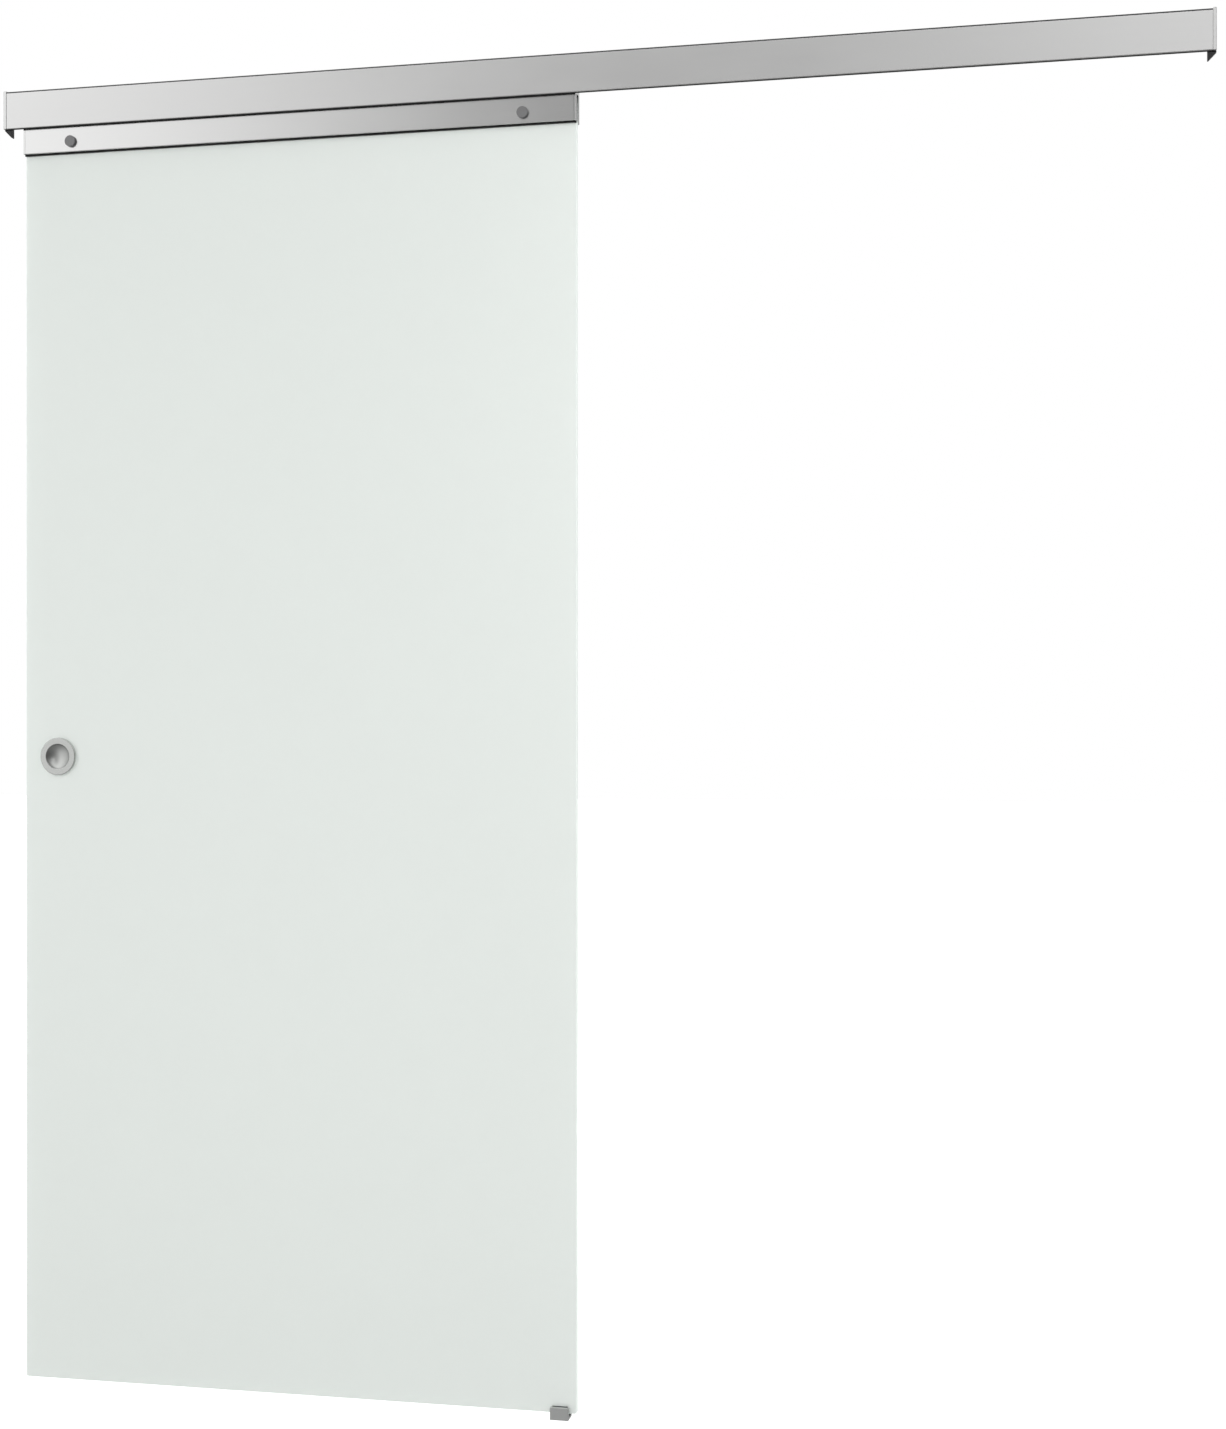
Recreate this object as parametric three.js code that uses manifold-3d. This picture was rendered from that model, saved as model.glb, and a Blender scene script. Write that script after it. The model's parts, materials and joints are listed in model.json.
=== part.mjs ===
// A top-hung sliding glass door set, in millimetres.
// An aluminium rail is screwed to the wall above the opening. Two four-wheel trolleys run inside
// it and carry a clamp rail, which grips a frosted glass panel along its whole top edge.
// A fascia clips over the rail, a flush pull is set in the glass, and a small guide on the floor
// keeps the lower edge in line. The door stands at the left end of its travel.
//
// X runs along the rail, Y runs from the room (negative) to the wall (0), and Z is up.
// The origin is the middle of the rail's wall face.

import * as THREE from 'three';
import { mergeVertices } from 'three/addons/utils/BufferGeometryUtils.js';
import Module from 'manifold-3d';

const solids = await Module();
solids.setup();

// ---------------------------------------------------------------- clearances
const seatGap = 0.3;              // between two pieces that rest against each other
const boreGap = 0.3;              // between a shaft or screw and its hole, on the radius
const glassGap = 0.8;             // between the glass and each cheek of the guide's liner

// ---------------------------------------------------------------- rail and fascia
const railLength = 1900;
const railDepth = 46;
const railHeight = 40;
const railWall = 3;
const slotWidth = 10;
const slotSetback = 18;           // rail's front face to the middle of the slot
const cornerRadius = 0.8;         // on the outer edges of the extrusions
const fasciaHeight = 61.5;
const fasciaThickness = 1.7;
const fasciaHook = 7;             // how far the fascia reaches back over the rail's top
const fasciaReturn = 2.2;         // the lower edge's return towards the wall
const snapHeight = 2.4;           // rib on the fascia that snaps into the rail
const snapDepth = 1.2;
const snapBelowTop = 32;          // rail's top to the middle of the rib
const endCapThickness = 5;
const endCapProud = 0.6;          // how far an end cap stands past the fascia's outline
const endCapFrontDepth = 10.5;    // depth of the cap's lower part, below the rail
const endCapPegLength = 8;
const endCapPegWidth = 6;
const wedgeWidth = 12.8;          // dark foot under each end of the rail
const wedgeDrop = 12.2;
const wedgeThickness = 8.5;
const wedgePegRadius = 1.6;

// ---------------------------------------------------------------- wall screws
const wallScrewCount = 5;
const wallScrewEndDistance = 70;  // rail's end to the first screw
const wallScrewRadius = 2.7;
const wallScrewHeadRadius = 4.8;
const wallScrewHeadHeight = 3;
const wallScrewReach = 45;        // length of the screw behind the wall face
const wallScrewPoint = 6;
const wallScrewBelowTop = 8.5;    // rail's top to the screw's axis
const driverHoleRadius = 6;       // hole in the front web that lets the screwdriver in

// ---------------------------------------------------------------- glass
const glassWidth = 926;
const glassHeight = 2042;
const glassThickness = 8;
const glassBevel = 0.8;
const glassCorner = 3;
const railEndToGlass = 27;        // rail's left end to the glass's left edge, door fully left
const travel = 880;

// ---------------------------------------------------------------- clamp rail
const jawThickness = 8;
const gasketThickness = 1.4;
const gasketLipHeight = 1.5;
const gasketLipWidth = 4.7;
const clampBelowFascia = 41.2;    // fascia's lower edge to the jaws' lower edge
const channelLipHeight = 3;       // lips over the channel that holds the hanger bolt's head
const channelHeight = 5.6;
const channelDepth = 1.2;         // how deep the channel is cut into each jaw
const channelMouth = 9.8;
const clampCapThickness = 3;
const clampCapPegLength = 8;
const clampScrewInset = 84;       // glass edge to the clamp screw
const clampScrewAboveEdge = 16.3; // jaws' lower edge to the clamp screw
const clampScrewRadius = 4;
const clampScrewHeadRadius = 6.5;
const clampScrewHeadHeight = 4.8;
const clampScrewSocketRadius = 2.9;
const clampScrewSocketDepth = 3;
const glassHoleRadius = 7;
const screwCapRadius = 9;
const screwCapHeight = 4.5;
const screwCapChamfer = 0.8;
const screwCapPegLength = 2.6;

// ---------------------------------------------------------------- trolleys
const trolleyInset = 58;          // glass edge to the middle of a trolley
const trolleyLength = 90;
const trolleyWidth = 11;
const trolleyHeight = 23;
const trolleyLift = 3;            // trolley block above the rail's shelves
const trolleyChamfer = 4;
const axleSpacing = 56;
const axleRadius = 2.5;
const axleHeadRadius = 3.6;
const axleHeadHeight = 0.7;
const wheelDiameter = 24;
const wheelWidth = 6.8;
const wheelChamfer = 0.6;
const wheelSideGap = 0.6;         // between a wheel and the trolley block
const bearingRadius = 8;
const bearingWidth = 5;
const hangerRadius = 4;
const hangerHeadWidth = 13.6;
const hangerHeadHeight = 4.8;
const hangerTopInTrolley = 2;     // bolt's upper end below the top of the trolley block
const hangerRoom = 10;            // rail's underside to the clamp's top
const nutAcrossFlats = 13;
const nutHeight = 5;

// ---------------------------------------------------------------- stops
const stopLength = 26;
const stopWidth = 24;
const stopHeight = 21;
const stopScrewRadius = 3;
const stopScrewHeadRadius = 7;
const stopScrewHeadHeight = 4;
const stopScrewSocketRadius = 2.4;
const stopScrewTopInBody = 3;
const bufferRadius = 6.5;
const bufferLength = 8;
const bufferPegRadius = 3;
const bufferPegLength = 5;
const bufferAboveShelf = 11;      // shelf to the buffer's axis

// ---------------------------------------------------------------- flush pull
const pullInset = 58;             // glass's left edge to the middle of the pull
const pullAboveEdge = 1016;       // glass's lower edge to the middle of the pull
const pullRadius = 30.5;
const pullProud = 5;
const pullChamfer = 1.2;
const pullMouthRadius = 20;
const pullLipRadius = 1.2;
const pullSleeveRadius = 26;
const pullFloor = 1;              // metal left under the deepest point of each cup

// ---------------------------------------------------------------- floor guide
const guideInset = 26.5;            // glass's right edge to the middle of the guide
const guideLength = 29.4;
const guideHeight = 19.6;
const guideBase = 4;
const guideCheek = 5;
const guideCorner = 3;            // rounded end, the other end is square
const guideCornerSmall = 0.6;
const linerThickness = 2.4;
const linerBase = 1.5;
const linerStandProud = 0.8;      // the liner's lips above the guide's cheeks
const floorGap = 9;               // floor to the glass's lower edge
const guideScrewSpacing = 15;
const guideScrewRadius = 1.9;
const guideScrewHeadRadius = 3.6;
const guideScrewHeadHeight = 2.2;
const guideScrewReach = 25;       // length of the screw below the floor

// ---------------------------------------------------------------- places worked out from these
const railTop = railHeight / 2;
const railBottom = -railHeight / 2;
const shelfTop = railBottom + railWall;
const doorPlane = -railDepth + slotSetback;   // middle of the slot, the trolleys and the glass
const fasciaInner = -railDepth - seatGap;
const fasciaOuter = fasciaInner - fasciaThickness;
const fasciaTop = railTop + seatGap + fasciaThickness;
const fasciaBottom = fasciaTop - fasciaHeight;
const glassLeft = -railLength / 2 + railEndToGlass;
const glassRight = glassLeft + glassWidth;
const jawBottom = fasciaBottom - clampBelowFascia;
const jawTop = railBottom - hangerRoom;
const jawInner = glassThickness / 2 + gasketThickness + 2 * seatGap;
const jawOuter = jawInner + jawThickness;
const channelTop = jawTop - channelLipHeight;
const channelFloor = channelTop - channelHeight;
const glassTop = channelFloor - seatGap;
const glassBottom = glassTop - glassHeight;
const floorLevel = glassBottom - floorGap;
const wheelAxis = shelfTop + wheelDiameter / 2;
const wheelOffset = trolleyWidth / 2 + wheelSideGap + wheelWidth / 2;
const sides = [['left', -1], ['right', 1]];

// ---------------------------------------------------------------- finishes
function finish(color, roughness, metalness) {
  return new THREE.MeshStandardMaterial({ color, roughness, metalness });
}

const satinAluminium = finish(0xc9cac8, 0.35, 0.9);
const railAluminium = finish(0xb4b6b5, 0.45, 0.9);
const darkPlastic = finish(0x3a3b3d, 0.6, 0.0);
const blackRubber = finish(0x151515, 0.85, 0.0);
const zincSteel = finish(0xa7a9a6, 0.4, 0.85);
const bearingSteel = finish(0x8f9295, 0.25, 1.0);
const wheelNylon = finish(0xe9e6dc, 0.55, 0.0);
const frostedGlass = finish(0xdfe6e1, 0.5, 0.0);
const brushedSteel = finish(0xb7bab8, 0.28, 1.0);
const capGrey = finish(0x7c7d7e, 0.5, 0.3);
const guideGrey = finish(0x8a8c8d, 0.45, 0.6);

const group = new THREE.Group();

function addPart(name, geometry, material, x = 0, y = 0, z = 0) {
  const mesh = new THREE.Mesh(geometry, material);
  mesh.name = name;
  mesh.position.set(x, y, z);
  group.add(mesh);
}

// ---------------------------------------------------------------- shape helpers

// A flat outline from its corners.
function outline(corners) {
  return new THREE.Shape(corners.map(([a, b]) => new THREE.Vector2(a, b)));
}

// An outline whose corners are rounded where a third value gives a radius.
function roundedOutline(corners) {
  const shape = new THREE.Shape();
  corners.forEach(([a, b, radius = 0], i) => {
    const here = new THREE.Vector2(a, b);
    if (radius === 0) {
      if (i === 0) shape.moveTo(a, b);
      else shape.lineTo(a, b);
      return;
    }
    const before = corners[(i + corners.length - 1) % corners.length];
    const after = corners[(i + 1) % corners.length];
    const start = here.clone().add(
      new THREE.Vector2(before[0] - a, before[1] - b).setLength(radius));
    const end = here.clone().add(
      new THREE.Vector2(after[0] - a, after[1] - b).setLength(radius));
    if (i === 0) shape.moveTo(start.x, start.y);
    else shape.lineTo(start.x, start.y);
    shape.quadraticCurveTo(a, b, end.x, end.y);
  });
  shape.closePath();
  return shape;
}

// Extrudes a (Y, Z) outline along X, from one X to another.
function alongX(shape, fromX, toX, curveSegments = 3) {
  const geometry = new THREE.ExtrudeGeometry(
    shape, { depth: toX - fromX, bevelEnabled: false, curveSegments });
  const turn = new THREE.Matrix4().makeBasis(
    new THREE.Vector3(0, 1, 0), new THREE.Vector3(0, 0, 1), new THREE.Vector3(1, 0, 0));
  return geometry.applyMatrix4(turn).translate(fromX, 0, 0);
}

// Extrudes an (X, Z) outline along Y, from one Y to another.
function alongY(shape, fromY, toY, curveSegments = 3) {
  const geometry = new THREE.ExtrudeGeometry(
    shape, { depth: toY - fromY, bevelEnabled: false, curveSegments });
  return geometry.rotateX(Math.PI / 2).translate(0, toY, 0);
}

// Turns a profile of (radius, height) points about the Y axis, listed from low to high.
function turnedAboutY(profile, segments) {
  const points = profile.map(([radius, height]) => new THREE.Vector2(radius, height));
  return new THREE.LatheGeometry(points, segments);
}

function turnedAboutZ(profile, segments) {
  return turnedAboutY(profile, segments).rotateX(Math.PI / 2);
}

function block(fromX, toX, fromY, toY, fromZ, toZ) {
  return new THREE.BoxGeometry(toX - fromX, toY - fromY, toZ - fromZ)
    .translate((fromX + toX) / 2, (fromY + toY) / 2, (fromZ + toZ) / 2);
}

// Round bars that lie along X, Y or Z, from one end to the other.
function barAlongY(radius, fromY, toY, x, z, segments = 24) {
  return new THREE.CylinderGeometry(radius, radius, toY - fromY, segments)
    .translate(x, (fromY + toY) / 2, z);
}

function barAlongZ(radius, fromZ, toZ, x, y, segments = 24) {
  return new THREE.CylinderGeometry(radius, radius, toZ - fromZ, segments)
    .rotateX(Math.PI / 2)
    .translate(x, y, (fromZ + toZ) / 2);
}

function barAlongX(radius, fromX, toX, y, z, segments = 24) {
  return new THREE.CylinderGeometry(radius, radius, toX - fromX, segments)
    .rotateZ(Math.PI / 2)
    .translate((fromX + toX) / 2, y, z);
}

// ---------------------------------------------------------------- joining and cutting
function toSolid(geometry) {
  const bare = geometry.clone();
  bare.deleteAttribute('normal');
  bare.deleteAttribute('uv');
  const merged = mergeVertices(bare, 1e-4);
  return new solids.Manifold(new solids.Mesh({
    numProp: 3,
    vertProperties: new Float32Array(merged.attributes.position.array),
    triVerts: new Uint32Array(merged.index.array),
  }));
}

function toGeometry(solid) {
  const mesh = solid.getMesh();
  const geometry = new THREE.BufferGeometry();
  geometry.setAttribute('position', new THREE.BufferAttribute(mesh.vertProperties, 3));
  geometry.setIndex(new THREE.BufferAttribute(mesh.triVerts, 1));
  geometry.computeVertexNormals();
  return geometry;
}

function joined(geometry, ...additions) {
  return toGeometry(additions.reduce((sum, piece) => sum.add(toSolid(piece)), toSolid(geometry)));
}

function cut(geometry, ...cutters) {
  return toGeometry(
    cutters.reduce((rest, cutter) => rest.subtract(toSolid(cutter)), toSolid(geometry)));
}

// ---------------------------------------------------------------- rail

// X of each wall screw: evenly spaced, with one at the same distance from either end.
const wallScrewSpacing = (railLength - 2 * wallScrewEndDistance) / (wallScrewCount - 1);
const wallScrewPlaces = Array.from(
  { length: wallScrewCount },
  (_, i) => -railLength / 2 + wallScrewEndDistance + i * wallScrewSpacing);
const wallScrewAxis = railTop - wallScrewBelowTop;
const snapAxis = railTop - snapBelowTop;
const wedgePegX = railLength / 2 - seatGap - (wedgeWidth - endCapThickness) / 2;
const wedgePegY = -railDepth + railWall + wedgePegRadius + 2 * boreGap;

// A box section with a slot in its underside. The shelves on both sides of the slot carry
// the wheels. The front web has a groove that the fascia snaps into.
function railBody() {
  const slotFront = doorPlane - slotWidth / 2;
  const slotBack = doorPlane + slotWidth / 2;
  const innerFront = -railDepth + railWall;
  const innerBack = -railWall;
  const ceiling = railTop - railWall;
  const grooveHalf = snapHeight / 2 + boreGap;
  const grooveFloor = -railDepth + snapDepth + boreGap;
  const section = roundedOutline([
    [slotFront, railBottom],
    [-railDepth, railBottom, cornerRadius],
    [-railDepth, snapAxis - grooveHalf],
    [grooveFloor, snapAxis - grooveHalf],
    [grooveFloor, snapAxis + grooveHalf],
    [-railDepth, snapAxis + grooveHalf],
    [-railDepth, railTop, cornerRadius],
    [0, railTop, cornerRadius],
    [0, railBottom, cornerRadius],
    [slotBack, railBottom],
    [slotBack, shelfTop],
    [innerBack, shelfTop],
    [innerBack, ceiling],
    [innerFront, ceiling],
    [innerFront, shelfTop],
    [slotFront, shelfTop],
  ]);
  const holes = wallScrewPlaces.flatMap((x) => [
    barAlongY(wallScrewRadius + boreGap, -2 * railWall, railWall, x, wallScrewAxis, 16),
    barAlongY(
      driverHoleRadius, -railDepth - railWall, -railDepth + 2 * railWall, x, wallScrewAxis, 20),
  ]);
  const pegHoles = sides.map(([, side]) => barAlongZ(
    wedgePegRadius + boreGap, railBottom - 1, shelfTop + 1, side * wedgePegX, wedgePegY, 12));
  return cut(alongX(section, -railLength / 2, railLength / 2), ...holes, ...pegHoles);
}

addPart('track_rail', railBody(), railAluminium);

// ---------------------------------------------------------------- fascia

// A thin strip that hooks over the rail's top, snaps into its front web, and hangs lower than
// the rail to hide the trolleys and the top of the clamp.
function fasciaBody() {
  const hookEnd = -railDepth + fasciaHook;
  const hookUnder = railTop + seatGap;
  const returnEnd = fasciaInner + fasciaReturn;
  const section = roundedOutline([
    [fasciaOuter, fasciaBottom, cornerRadius],
    [fasciaOuter, fasciaTop, cornerRadius],
    [hookEnd, fasciaTop],
    [hookEnd, hookUnder],
    [fasciaInner, hookUnder],
    [fasciaInner, snapAxis + snapHeight / 2],
    [fasciaInner + seatGap + snapDepth, snapAxis],
    [fasciaInner, snapAxis - snapHeight / 2],
    [fasciaInner, fasciaBottom + fasciaThickness],
    [returnEnd, fasciaBottom + fasciaThickness],
    [returnEnd, fasciaBottom],
  ]);
  return alongX(section, -railLength / 2, railLength / 2);
}

addPart('fascia_cover', fasciaBody(), satinAluminium);

// ---------------------------------------------------------------- end caps and their dark feet

// A plate that closes the rail and the fascia, with two pegs that push into the rail.
function endCap(side) {
  const front = fasciaOuter - endCapProud;
  const top = fasciaTop + endCapProud;
  const bottom = fasciaBottom - seatGap;
  const section = roundedOutline([
    [front, bottom, cornerRadius],
    [front, top, cornerRadius],
    [-seatGap, top, cornerRadius],
    [-seatGap, railBottom - seatGap, cornerRadius],
    [front + endCapFrontDepth, railBottom - seatGap],
    [front + endCapFrontDepth, bottom, cornerRadius],
  ]);
  const inner = railLength / 2 + seatGap;
  const outer = inner + endCapThickness;
  const pegEnd = railLength / 2 - endCapPegLength;
  const pegTop = railTop - railWall - seatGap;
  const ends = (from, to) => (side > 0 ? [from, to] : [-to, -from]);
  const pegs = [-railDepth + railWall + seatGap, -railWall - seatGap - endCapPegWidth].map(
    (y) => block(...ends(pegEnd, inner + 1), y, y + endCapPegWidth,
      pegTop - endCapPegWidth, pegTop));
  return joined(alongX(section, ...ends(inner, outer)), ...pegs);
}

// A dark wedge below each end of the rail. Its tongue runs up behind the fascia and a peg
// snaps into the rail's front shelf.
function endWedge(side) {
  const railEnd = railLength / 2 - seatGap;
  const tip = railLength / 2 + seatGap + endCapThickness;
  const inner = tip - wedgeWidth;
  const top = railBottom - seatGap;
  const under = fasciaBottom - 2 * seatGap;
  const foot = under - wedgeDrop;
  const section = outline([
    [side * railEnd, top],
    [side * inner, top],
    [side * inner, foot],
    [side * (inner + 1.5), foot],
    [side * tip, under - 0.6],
    [side * tip, under],
    [side * railEnd, under],
  ]);
  const front = fasciaInner + fasciaReturn + seatGap;
  const peg = barAlongZ(
    wedgePegRadius, top - 1, shelfTop - seatGap, side * wedgePegX, wedgePegY, 12);
  return joined(alongY(section, front, front + wedgeThickness), peg);
}

for (const [name, side] of sides) {
  addPart(`end_cap_${name}`, endCap(side), satinAluminium);
  addPart(`end_wedge_${name}`, endWedge(side), darkPlastic);
}

// ---------------------------------------------------------------- wall screws

// A pan-head screw that sits inside the rail and runs through its back into the wall.
function wallScrew() {
  const headBack = -railWall - seatGap;
  const headFront = headBack - wallScrewHeadHeight;
  const tip = wallScrewReach;
  return turnedAboutY([
    [0, headFront],
    [wallScrewHeadRadius - 1.2, headFront],
    [wallScrewHeadRadius, headFront + 1.2],
    [wallScrewHeadRadius, headBack],
    [wallScrewRadius, headBack],
    [wallScrewRadius, tip - wallScrewPoint],
    [0, tip],
  ], 16);
}

wallScrewPlaces.forEach((x, i) => {
  addPart(`wall_screw_${i + 1}`, wallScrew(), zincSteel, x, 0, wallScrewAxis);
});

// ---------------------------------------------------------------- trolleys and wheels

// A steel block that runs above the slot. Two axles pass across it, and it has a tapped hole
// for the hanger bolt.
function trolleyBody() {
  const half = trolleyLength / 2;
  const low = shelfTop + trolleyLift;
  const high = low + trolleyHeight;
  const section = outline([
    [-half, low],
    [half, low],
    [half, high - trolleyChamfer],
    [half - trolleyChamfer, high],
    [-half + trolleyChamfer, high],
    [-half, high - trolleyChamfer],
  ]);
  const halfWidth = trolleyWidth / 2;
  const axleHoles = [-1, 1].map((end) => barAlongY(
    axleRadius + boreGap, -trolleyWidth, trolleyWidth, end * axleSpacing / 2, wheelAxis, 16));
  const hangerHole = barAlongZ(hangerRadius + boreGap, low - 1, high + 1, 0, 0, 20);
  return cut(alongY(section, -halfWidth, halfWidth), ...axleHoles, hangerHole);
}

// A pin with a riveted head at either end, through the block and the wheels on both sides.
function axlePin() {
  const headInner = wheelOffset + wheelWidth / 2 + seatGap;
  const headOuter = headInner + axleHeadHeight;
  return turnedAboutY([
    [0, -headOuter],
    [axleHeadRadius, -headOuter],
    [axleHeadRadius, -headInner],
    [axleRadius, -headInner],
    [axleRadius, headInner],
    [axleHeadRadius, headInner],
    [axleHeadRadius, headOuter],
    [0, headOuter],
  ], 16);
}

function wheelTyre() {
  const half = wheelWidth / 2;
  const outer = wheelDiameter / 2;
  const inner = bearingRadius + boreGap;
  return turnedAboutY([
    [inner, -half],
    [outer - wheelChamfer, -half],
    [outer, -half + wheelChamfer],
    [outer, half - wheelChamfer],
    [outer - wheelChamfer, half],
    [inner, half],
    [inner, -half],
  ], 24);
}

function wheelBearing() {
  const half = bearingWidth / 2;
  const bore = axleRadius + boreGap;
  return turnedAboutY([
    [bore, -half],
    [bearingRadius, -half],
    [bearingRadius, half],
    [bore, half],
    [bore, -half],
  ], 20);
}

// A T-head bolt: its square head slides in the clamp's channel and its shank screws up into
// the trolley, which sets the door's height.
function hangerBolt() {
  const headTop = channelTop - seatGap;
  const headBottom = headTop - hangerHeadHeight;
  const top = shelfTop + trolleyLift + trolleyHeight - hangerTopInTrolley;
  const half = hangerHeadWidth / 2;
  return joined(
    block(-half, half, -half, half, headBottom, headTop),
    barAlongZ(hangerRadius, headTop - 1, top, 0, 0, 20));
}

function lockNut() {
  const low = jawTop + seatGap;
  const corner = nutAcrossFlats / Math.sqrt(3);
  return cut(
    barAlongZ(corner, low, low + nutHeight, 0, 0, 6),
    barAlongZ(hangerRadius + boreGap, low - 1, low + nutHeight + 1, 0, 0, 20));
}

for (const [name, side] of sides) {
  const middle = (glassLeft + glassRight) / 2;
  const x = middle + side * (glassWidth / 2 - trolleyInset);
  addPart(`trolley_body_${name}`, trolleyBody(), zincSteel, x, doorPlane);
  addPart(`hanger_bolt_${name}`, hangerBolt(), zincSteel, x, doorPlane);
  addPart(`lock_nut_${name}`, lockNut(), zincSteel, x, doorPlane);
  for (const [end, along] of [['a', -1], ['b', 1]]) {
    const axleX = x + along * axleSpacing / 2;
    addPart(`axle_${name}_${end}`, axlePin(), bearingSteel, axleX, doorPlane, wheelAxis);
    for (const [row, across] of [['front', -1], ['back', 1]]) {
      const wheelY = doorPlane + across * wheelOffset;
      const tag = `${name}_${end}_${row}`;
      addPart(`wheel_tyre_${tag}`, wheelTyre(), wheelNylon, axleX, wheelY, wheelAxis);
      addPart(`wheel_bearing_${tag}`, wheelBearing(), bearingSteel, axleX, wheelY, wheelAxis);
    }
  }
}

// ---------------------------------------------------------------- stops

// A block on the rail's shelves, pinched in place by a flanged screw under the slot, with a
// rubber buffer towards the trolley. The buffer's face is where the trolley's end stops.
function stopBody(side) {
  const low = shelfTop + seatGap;
  const half = stopWidth / 2;
  const face = stopLength / 2;
  const pegHole = barAlongX(
    bufferPegRadius + boreGap, face - bufferPegLength - 1, face + 1,
    0, shelfTop + bufferAboveShelf, 16);
  return cut(
    block(-stopLength / 2, stopLength / 2, -half, half, low, low + stopHeight),
    barAlongZ(stopScrewRadius + boreGap, low - 1, low + stopHeight + 1, 0, 0, 16),
    side > 0 ? pegHole.rotateZ(Math.PI) : pegHole);
}

function stopBuffer(side) {
  const near = stopLength / 2 + seatGap;
  const far = near + bufferLength;
  const profile = [
    [0, near - seatGap - bufferPegLength],
    [bufferPegRadius, near - seatGap - bufferPegLength],
    [bufferPegRadius, near],
    [bufferRadius, near],
    [bufferRadius, far - 1.5],
    [bufferRadius - 1.5, far],
    [0, far],
  ];
  return turnedAboutY(profile, 20).rotateZ(side * Math.PI / 2);
}

function stopScrew() {
  const headTop = railBottom - seatGap;
  const headBottom = headTop - stopScrewHeadHeight;
  const top = shelfTop + seatGap + stopHeight - stopScrewTopInBody;
  return turnedAboutZ([
    [0, headBottom + 2.4],
    [stopScrewSocketRadius, headBottom + 2.4],
    [stopScrewSocketRadius, headBottom],
    [stopScrewHeadRadius - 1, headBottom],
    [stopScrewHeadRadius, headBottom + 1],
    [stopScrewHeadRadius, headTop],
    [stopScrewRadius, headTop],
    [stopScrewRadius, top],
    [0, top],
  ], 16);
}

// Distance from a trolley's middle to a stop's middle when they touch.
const stopReach = trolleyLength / 2 + seatGap + bufferLength + seatGap + stopLength / 2;
const stopPlaces = {
  left: glassLeft + trolleyInset - stopReach,
  right: glassRight - trolleyInset + travel + stopReach,
};

for (const [name, side] of sides) {
  const x = stopPlaces[name];
  addPart(`stop_body_${name}`, stopBody(side), darkPlastic, x, doorPlane);
  addPart(`stop_buffer_${name}`, stopBuffer(side), blackRubber,
    x, doorPlane, shelfTop + bufferAboveShelf);
  addPart(`stop_screw_${name}`, stopScrew(), zincSteel, x, doorPlane);
}

// ---------------------------------------------------------------- clamp rail

const clampLeft = glassLeft + clampCapThickness + seatGap;
const clampRight = glassRight - clampCapThickness - seatGap;
const clampScrewAxis = jawBottom + clampScrewAboveEdge;
const clampScrewPlaces = [glassLeft + clampScrewInset, glassRight - clampScrewInset];
const counterboreFloor = jawOuter - clampScrewHeadHeight - 2 * seatGap;

// One jaw of the clamp. The side is -1 for the jaw towards the room and 1 for the jaw towards
// the wall. Its corners are (distance from the door's middle plane, Z).
function clampJaw(side) {
  const at = (distance, z, radius) => [doorPlane + side * distance, z, radius];
  const section = roundedOutline([
    at(jawInner, jawBottom),
    at(jawOuter, jawBottom, cornerRadius),
    at(jawOuter, jawTop, cornerRadius),
    at(channelMouth / 2, jawTop),
    at(channelMouth / 2, channelTop),
    at(jawInner + channelDepth, channelTop),
    at(jawInner + channelDepth, channelFloor),
    at(jawInner, channelFloor),
  ]);
  const throughHoles = clampScrewPlaces.map((x) => barAlongY(
    clampScrewRadius + boreGap, doorPlane + side * (jawOuter + jawInner) / 2 - jawThickness,
    doorPlane + side * (jawOuter + jawInner) / 2 + jawThickness, x, clampScrewAxis, 20));
  const counterbores = clampScrewPlaces.map((x) => barAlongY(
    clampScrewHeadRadius + boreGap, doorPlane - jawOuter - 1, doorPlane - counterboreFloor,
    x, clampScrewAxis, 24));
  const cutters = side < 0 ? [...throughHoles, ...counterbores] : throughHoles;
  return cut(alongX(section, clampLeft, clampRight), ...cutters);
}

// A rubber strip between a jaw and the glass, with a lip under the jaw's lower edge.
function clampGasket(side) {
  const inner = glassThickness / 2 + seatGap;
  const outer = inner + gasketThickness;
  const lipTop = jawBottom - seatGap;
  const lipBottom = lipTop - gasketLipHeight;
  const top = channelFloor - 3;
  const at = (distance, z) => [doorPlane + side * distance, z];
  const section = outline([
    at(inner, lipBottom),
    at(inner + gasketLipWidth, lipBottom),
    at(inner + gasketLipWidth, lipTop),
    at(outer, lipTop),
    at(outer, top),
    at(inner, top),
  ]);
  const holes = clampScrewPlaces.map((x) => barAlongY(
    glassHoleRadius, doorPlane + side * inner - 2 * gasketThickness,
    doorPlane + side * outer + 2 * gasketThickness, x, clampScrewAxis, 20));
  return cut(alongX(section, glassLeft + seatGap, glassRight - seatGap), ...holes);
}

// A plate over the end of both jaws, open below for the glass, with a peg in the channel.
function clampEndCap(side) {
  const section = roundedOutline([
    [doorPlane - jawOuter, jawBottom, cornerRadius],
    [doorPlane - jawOuter, jawTop, cornerRadius],
    [doorPlane + jawOuter, jawTop, cornerRadius],
    [doorPlane + jawOuter, jawBottom, cornerRadius],
    [doorPlane + jawInner, jawBottom],
    [doorPlane + jawInner, channelFloor],
    [doorPlane - jawInner, channelFloor],
    [doorPlane - jawInner, jawBottom],
  ]);
  const outer = side > 0 ? glassRight : glassLeft;
  const inner = outer - side * clampCapThickness;
  const pegEnd = inner - side * clampCapPegLength;
  const pegHalf = channelMouth / 2 - seatGap;
  const plate = alongX(section, Math.min(inner, outer), Math.max(inner, outer));
  const peg = block(
    Math.min(pegEnd, inner + side), Math.max(pegEnd, inner + side),
    doorPlane - pegHalf, doorPlane + pegHalf, channelFloor + 1, channelTop - seatGap);
  return joined(plate, peg);
}

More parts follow.
